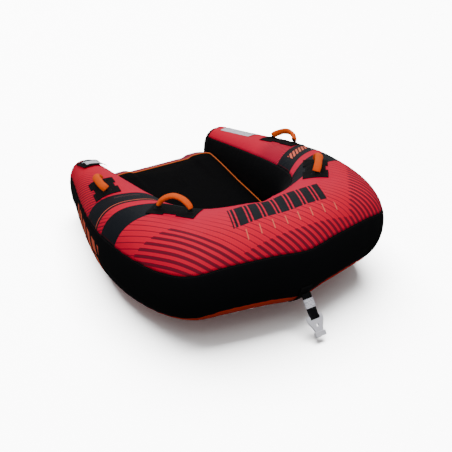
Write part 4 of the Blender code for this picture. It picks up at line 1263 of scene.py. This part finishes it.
def make_seat(paints):
    """Seat cover in three panels, swollen by its bladder, with piping round its top."""
    points, base_row, rim_row = seat_grid()
    _, lengths = seat_outline()
    pinned = {row: 1.0 for row in range(base_row + 1)}
    pinned[rim_row] = RIM_HOLD
    points = inflate(points, pinned)
    points[..., 2] = np.maximum(points[..., 2], SEAT_LOWEST)
    wall = slice(base_row + 1, rim_row)
    wrinkle = ripple(lengths[None, :] + np.zeros((rim_row - base_row - 1, 1)), 0.05, 21)
    from_rim = np.linalg.norm(points[wall] - points[rim_row], axis=-1)
    rear = np.clip(points[wall, :, 1] / 0.5, 0, 1)
    points[wall, :, 2] += 0.0022 * wrinkle * np.exp(-from_rim / 0.03) * rear
    run = np.repeat(lengths[None, :], len(points), 0)
    from_rim = np.linalg.norm(points - points[rim_row], axis=-1)
    last = len(points) - 1
    parts = (
        ("seat_base_cover", 0, base_row, "black", "black_cover", ["seat_base_panel"]),
        ("seat_wall_cover", base_row, rim_row, "wall", "seat_maroon", ["seat_side_panel"]),
        ("seat_top_cover", rim_row, last, "facing", "seat_black", ["seat_top_panel", "seat_bladder"]),
    )
    for name, low, high, paint, slot, nodes in parts:
        rows = slice(low, high + 1)
        poles = [row - low for row in (0, last) if low <= row <= high]
        piece = grid_piece(name, points[rows], paints[paint], {"seam": from_rim[rows], "run": run[rows]},
                           closed=True, poles=poles, middle=SEAT_MIDDLE)
        modify(piece, "fine", "SUBSURF", levels=1, render_levels=1)
        attach(piece, "hull", slot, *nodes)
    make_piping(points[rim_row] + np.array((0.0, 0.0, PIPING_RADIUS * 0.6)), paints)


# ---------------------------------------------------------------- camera, lights and floor
def aim(name, data, place, target):
    """Put a camera or lamp at a place and turn it to a target."""
    thing = bpy.data.objects.new(name, data)
    thing.location = place
    thing.rotation_mode = "QUATERNION"
    thing.rotation_quaternion = (Vector(target) - Vector(place)).to_track_quat("-Z", "Y")
    bpy.context.scene.collection.objects.link(thing)
    return thing


def make_camera():
    """The camera, at the photograph's viewing angle."""
    a, e = math.radians(VIEW_AZIMUTH), math.radians(VIEW_ELEVATION)
    back = Vector((math.sin(a) * math.cos(e), -math.cos(a) * math.cos(e), math.sin(e)))
    data = bpy.data.cameras.new("camera")
    data.lens = VIEW_LENS
    data.shift_x, data.shift_y = VIEW_SHIFT
    bpy.context.scene.camera = aim("camera", data, VIEW_TARGET + back * VIEW_DISTANCE, VIEW_TARGET)


def make_light(name, place, size, power, only=None, target=(0.0, 0.0, 0.2)):
    """A large soft lamp aimed at the object; it may light only some things."""
    data = bpy.data.lights.new(name, "AREA")
    data.size = size
    data.energy = power
    lamp = aim(name, data, place, target)
    if only:
        lit = bpy.data.collections.new(name + "_lights")
        lit.objects.link(only)
        lamp.light_linking.receiver_collection = lit


def make_world():
    """White surroundings: bright behind the floor, softer as a light, and dim from below."""
    world = bpy.data.worlds.new("studio")
    world.use_nodes = True
    tree = world.node_tree
    direction = tree.nodes.new("ShaderNodeTexCoord")
    parts = tree.nodes.new("ShaderNodeSeparateXYZ")
    tree.links.new(direction.outputs["Generated"], parts.inputs[0])
    glow = Flow(tree, parts.outputs["Z"]).above(-0.1, 0.8) * (SKY_ABOVE - SKY_BELOW) + SKY_BELOW
    path = tree.nodes.new("ShaderNodeLightPath")
    seen = Flow(tree, path.outputs["Is Camera Ray"])
    strength = seen * BACKDROP + (1.0 - seen) * glow
    tree.links.new(strength.socket, tree.nodes["Background"].inputs["Strength"])
    tree.nodes["Background"].inputs["Color"].default_value = (1.0, 1.0, 1.0, 1.0)
    bpy.context.scene.world = world


def make_studio():
    """White surroundings, soft lamps and a bright pale floor that only takes shadows."""
    make_world()
    mesh = bpy.data.meshes.new("floor")
    far = FLOOR_HALF
    mesh.from_pydata([(-far, -far, 0), (far, -far, 0), (far, far, 0), (-far, far, 0)], [], [(0, 1, 2, 3)])
    paint = Paint("floor", (0.94, 0.94, 0.94), 1.0, specular=0.0)
    floor = add_piece("floor", mesh, paint.done())
    floor.visible_diffuse = False
    floor.visible_glossy = False
    make_light("key", *KEY_LAMP)
    make_light("rear", *REAR_LAMP)
    make_light("floor_lamp", *FLOOR_LAMP, only=floor, target=(0.0, 0.0, 0.0))


def make_paints():
    """Every material, by a short name."""
    return {
        "top": top_print(), "side": side_print(),
        "black": cover_fabric("black_fabric", BLACK, DARK_THREAD),
        "keel": cover_fabric("keel_fabric", (0.66, 0.036, 0.008), (0.30, 0.015, 0.006), 0.6, 0.2),
        "facing": seat_facing(), "wall": seat_wall(), "piping": piping_cord(), "grip": grip_cloth(),
        "webbing": webbing("webbing_sewn"), "webbing_plain": webbing("webbing_plain", edge_row=False),
        "label": label_cloth("label_blank", False), "label_marked": label_cloth("label_flecked", True),
        "label_band": label_cloth("label_band", True, everywhere=True),
        "plastic_white": moulded("plastic_white", (0.92, 0.91, 0.98), 0.38),
        "plastic_black": moulded("plastic_black", (0.012, 0.012, 0.013), 0.42),
        "metal": cast_metal(), "zip": zip_tape(),
    }


def main(frame):
    """Build every visible piece round the frame."""
    joints = {joint["child"]: joint for joint in frame["joints"]}
    paints = make_paints()
    make_camera()
    make_studio()
    ground = Ground(make_cover(paints))
    for seed, name in enumerate(HANDLE_NAMES):
        make_patch(name, joints[name], ground, paints)
        make_handle(name, joints[name], ground, paints, seed + 31)
    make_care_label(ground, paints)
    make_flap(ground, paints)
    make_tow_patch(paints)
    dress_frame(frame["nodes"], paints)
    make_seat(paints)


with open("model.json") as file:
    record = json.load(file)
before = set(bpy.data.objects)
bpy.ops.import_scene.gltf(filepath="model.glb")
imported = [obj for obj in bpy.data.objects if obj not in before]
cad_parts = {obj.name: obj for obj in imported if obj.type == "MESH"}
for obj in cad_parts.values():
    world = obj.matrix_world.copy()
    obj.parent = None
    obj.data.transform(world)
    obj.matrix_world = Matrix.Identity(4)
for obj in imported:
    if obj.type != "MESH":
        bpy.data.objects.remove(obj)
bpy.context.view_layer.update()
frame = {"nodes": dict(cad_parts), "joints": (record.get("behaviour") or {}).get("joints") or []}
main(frame)
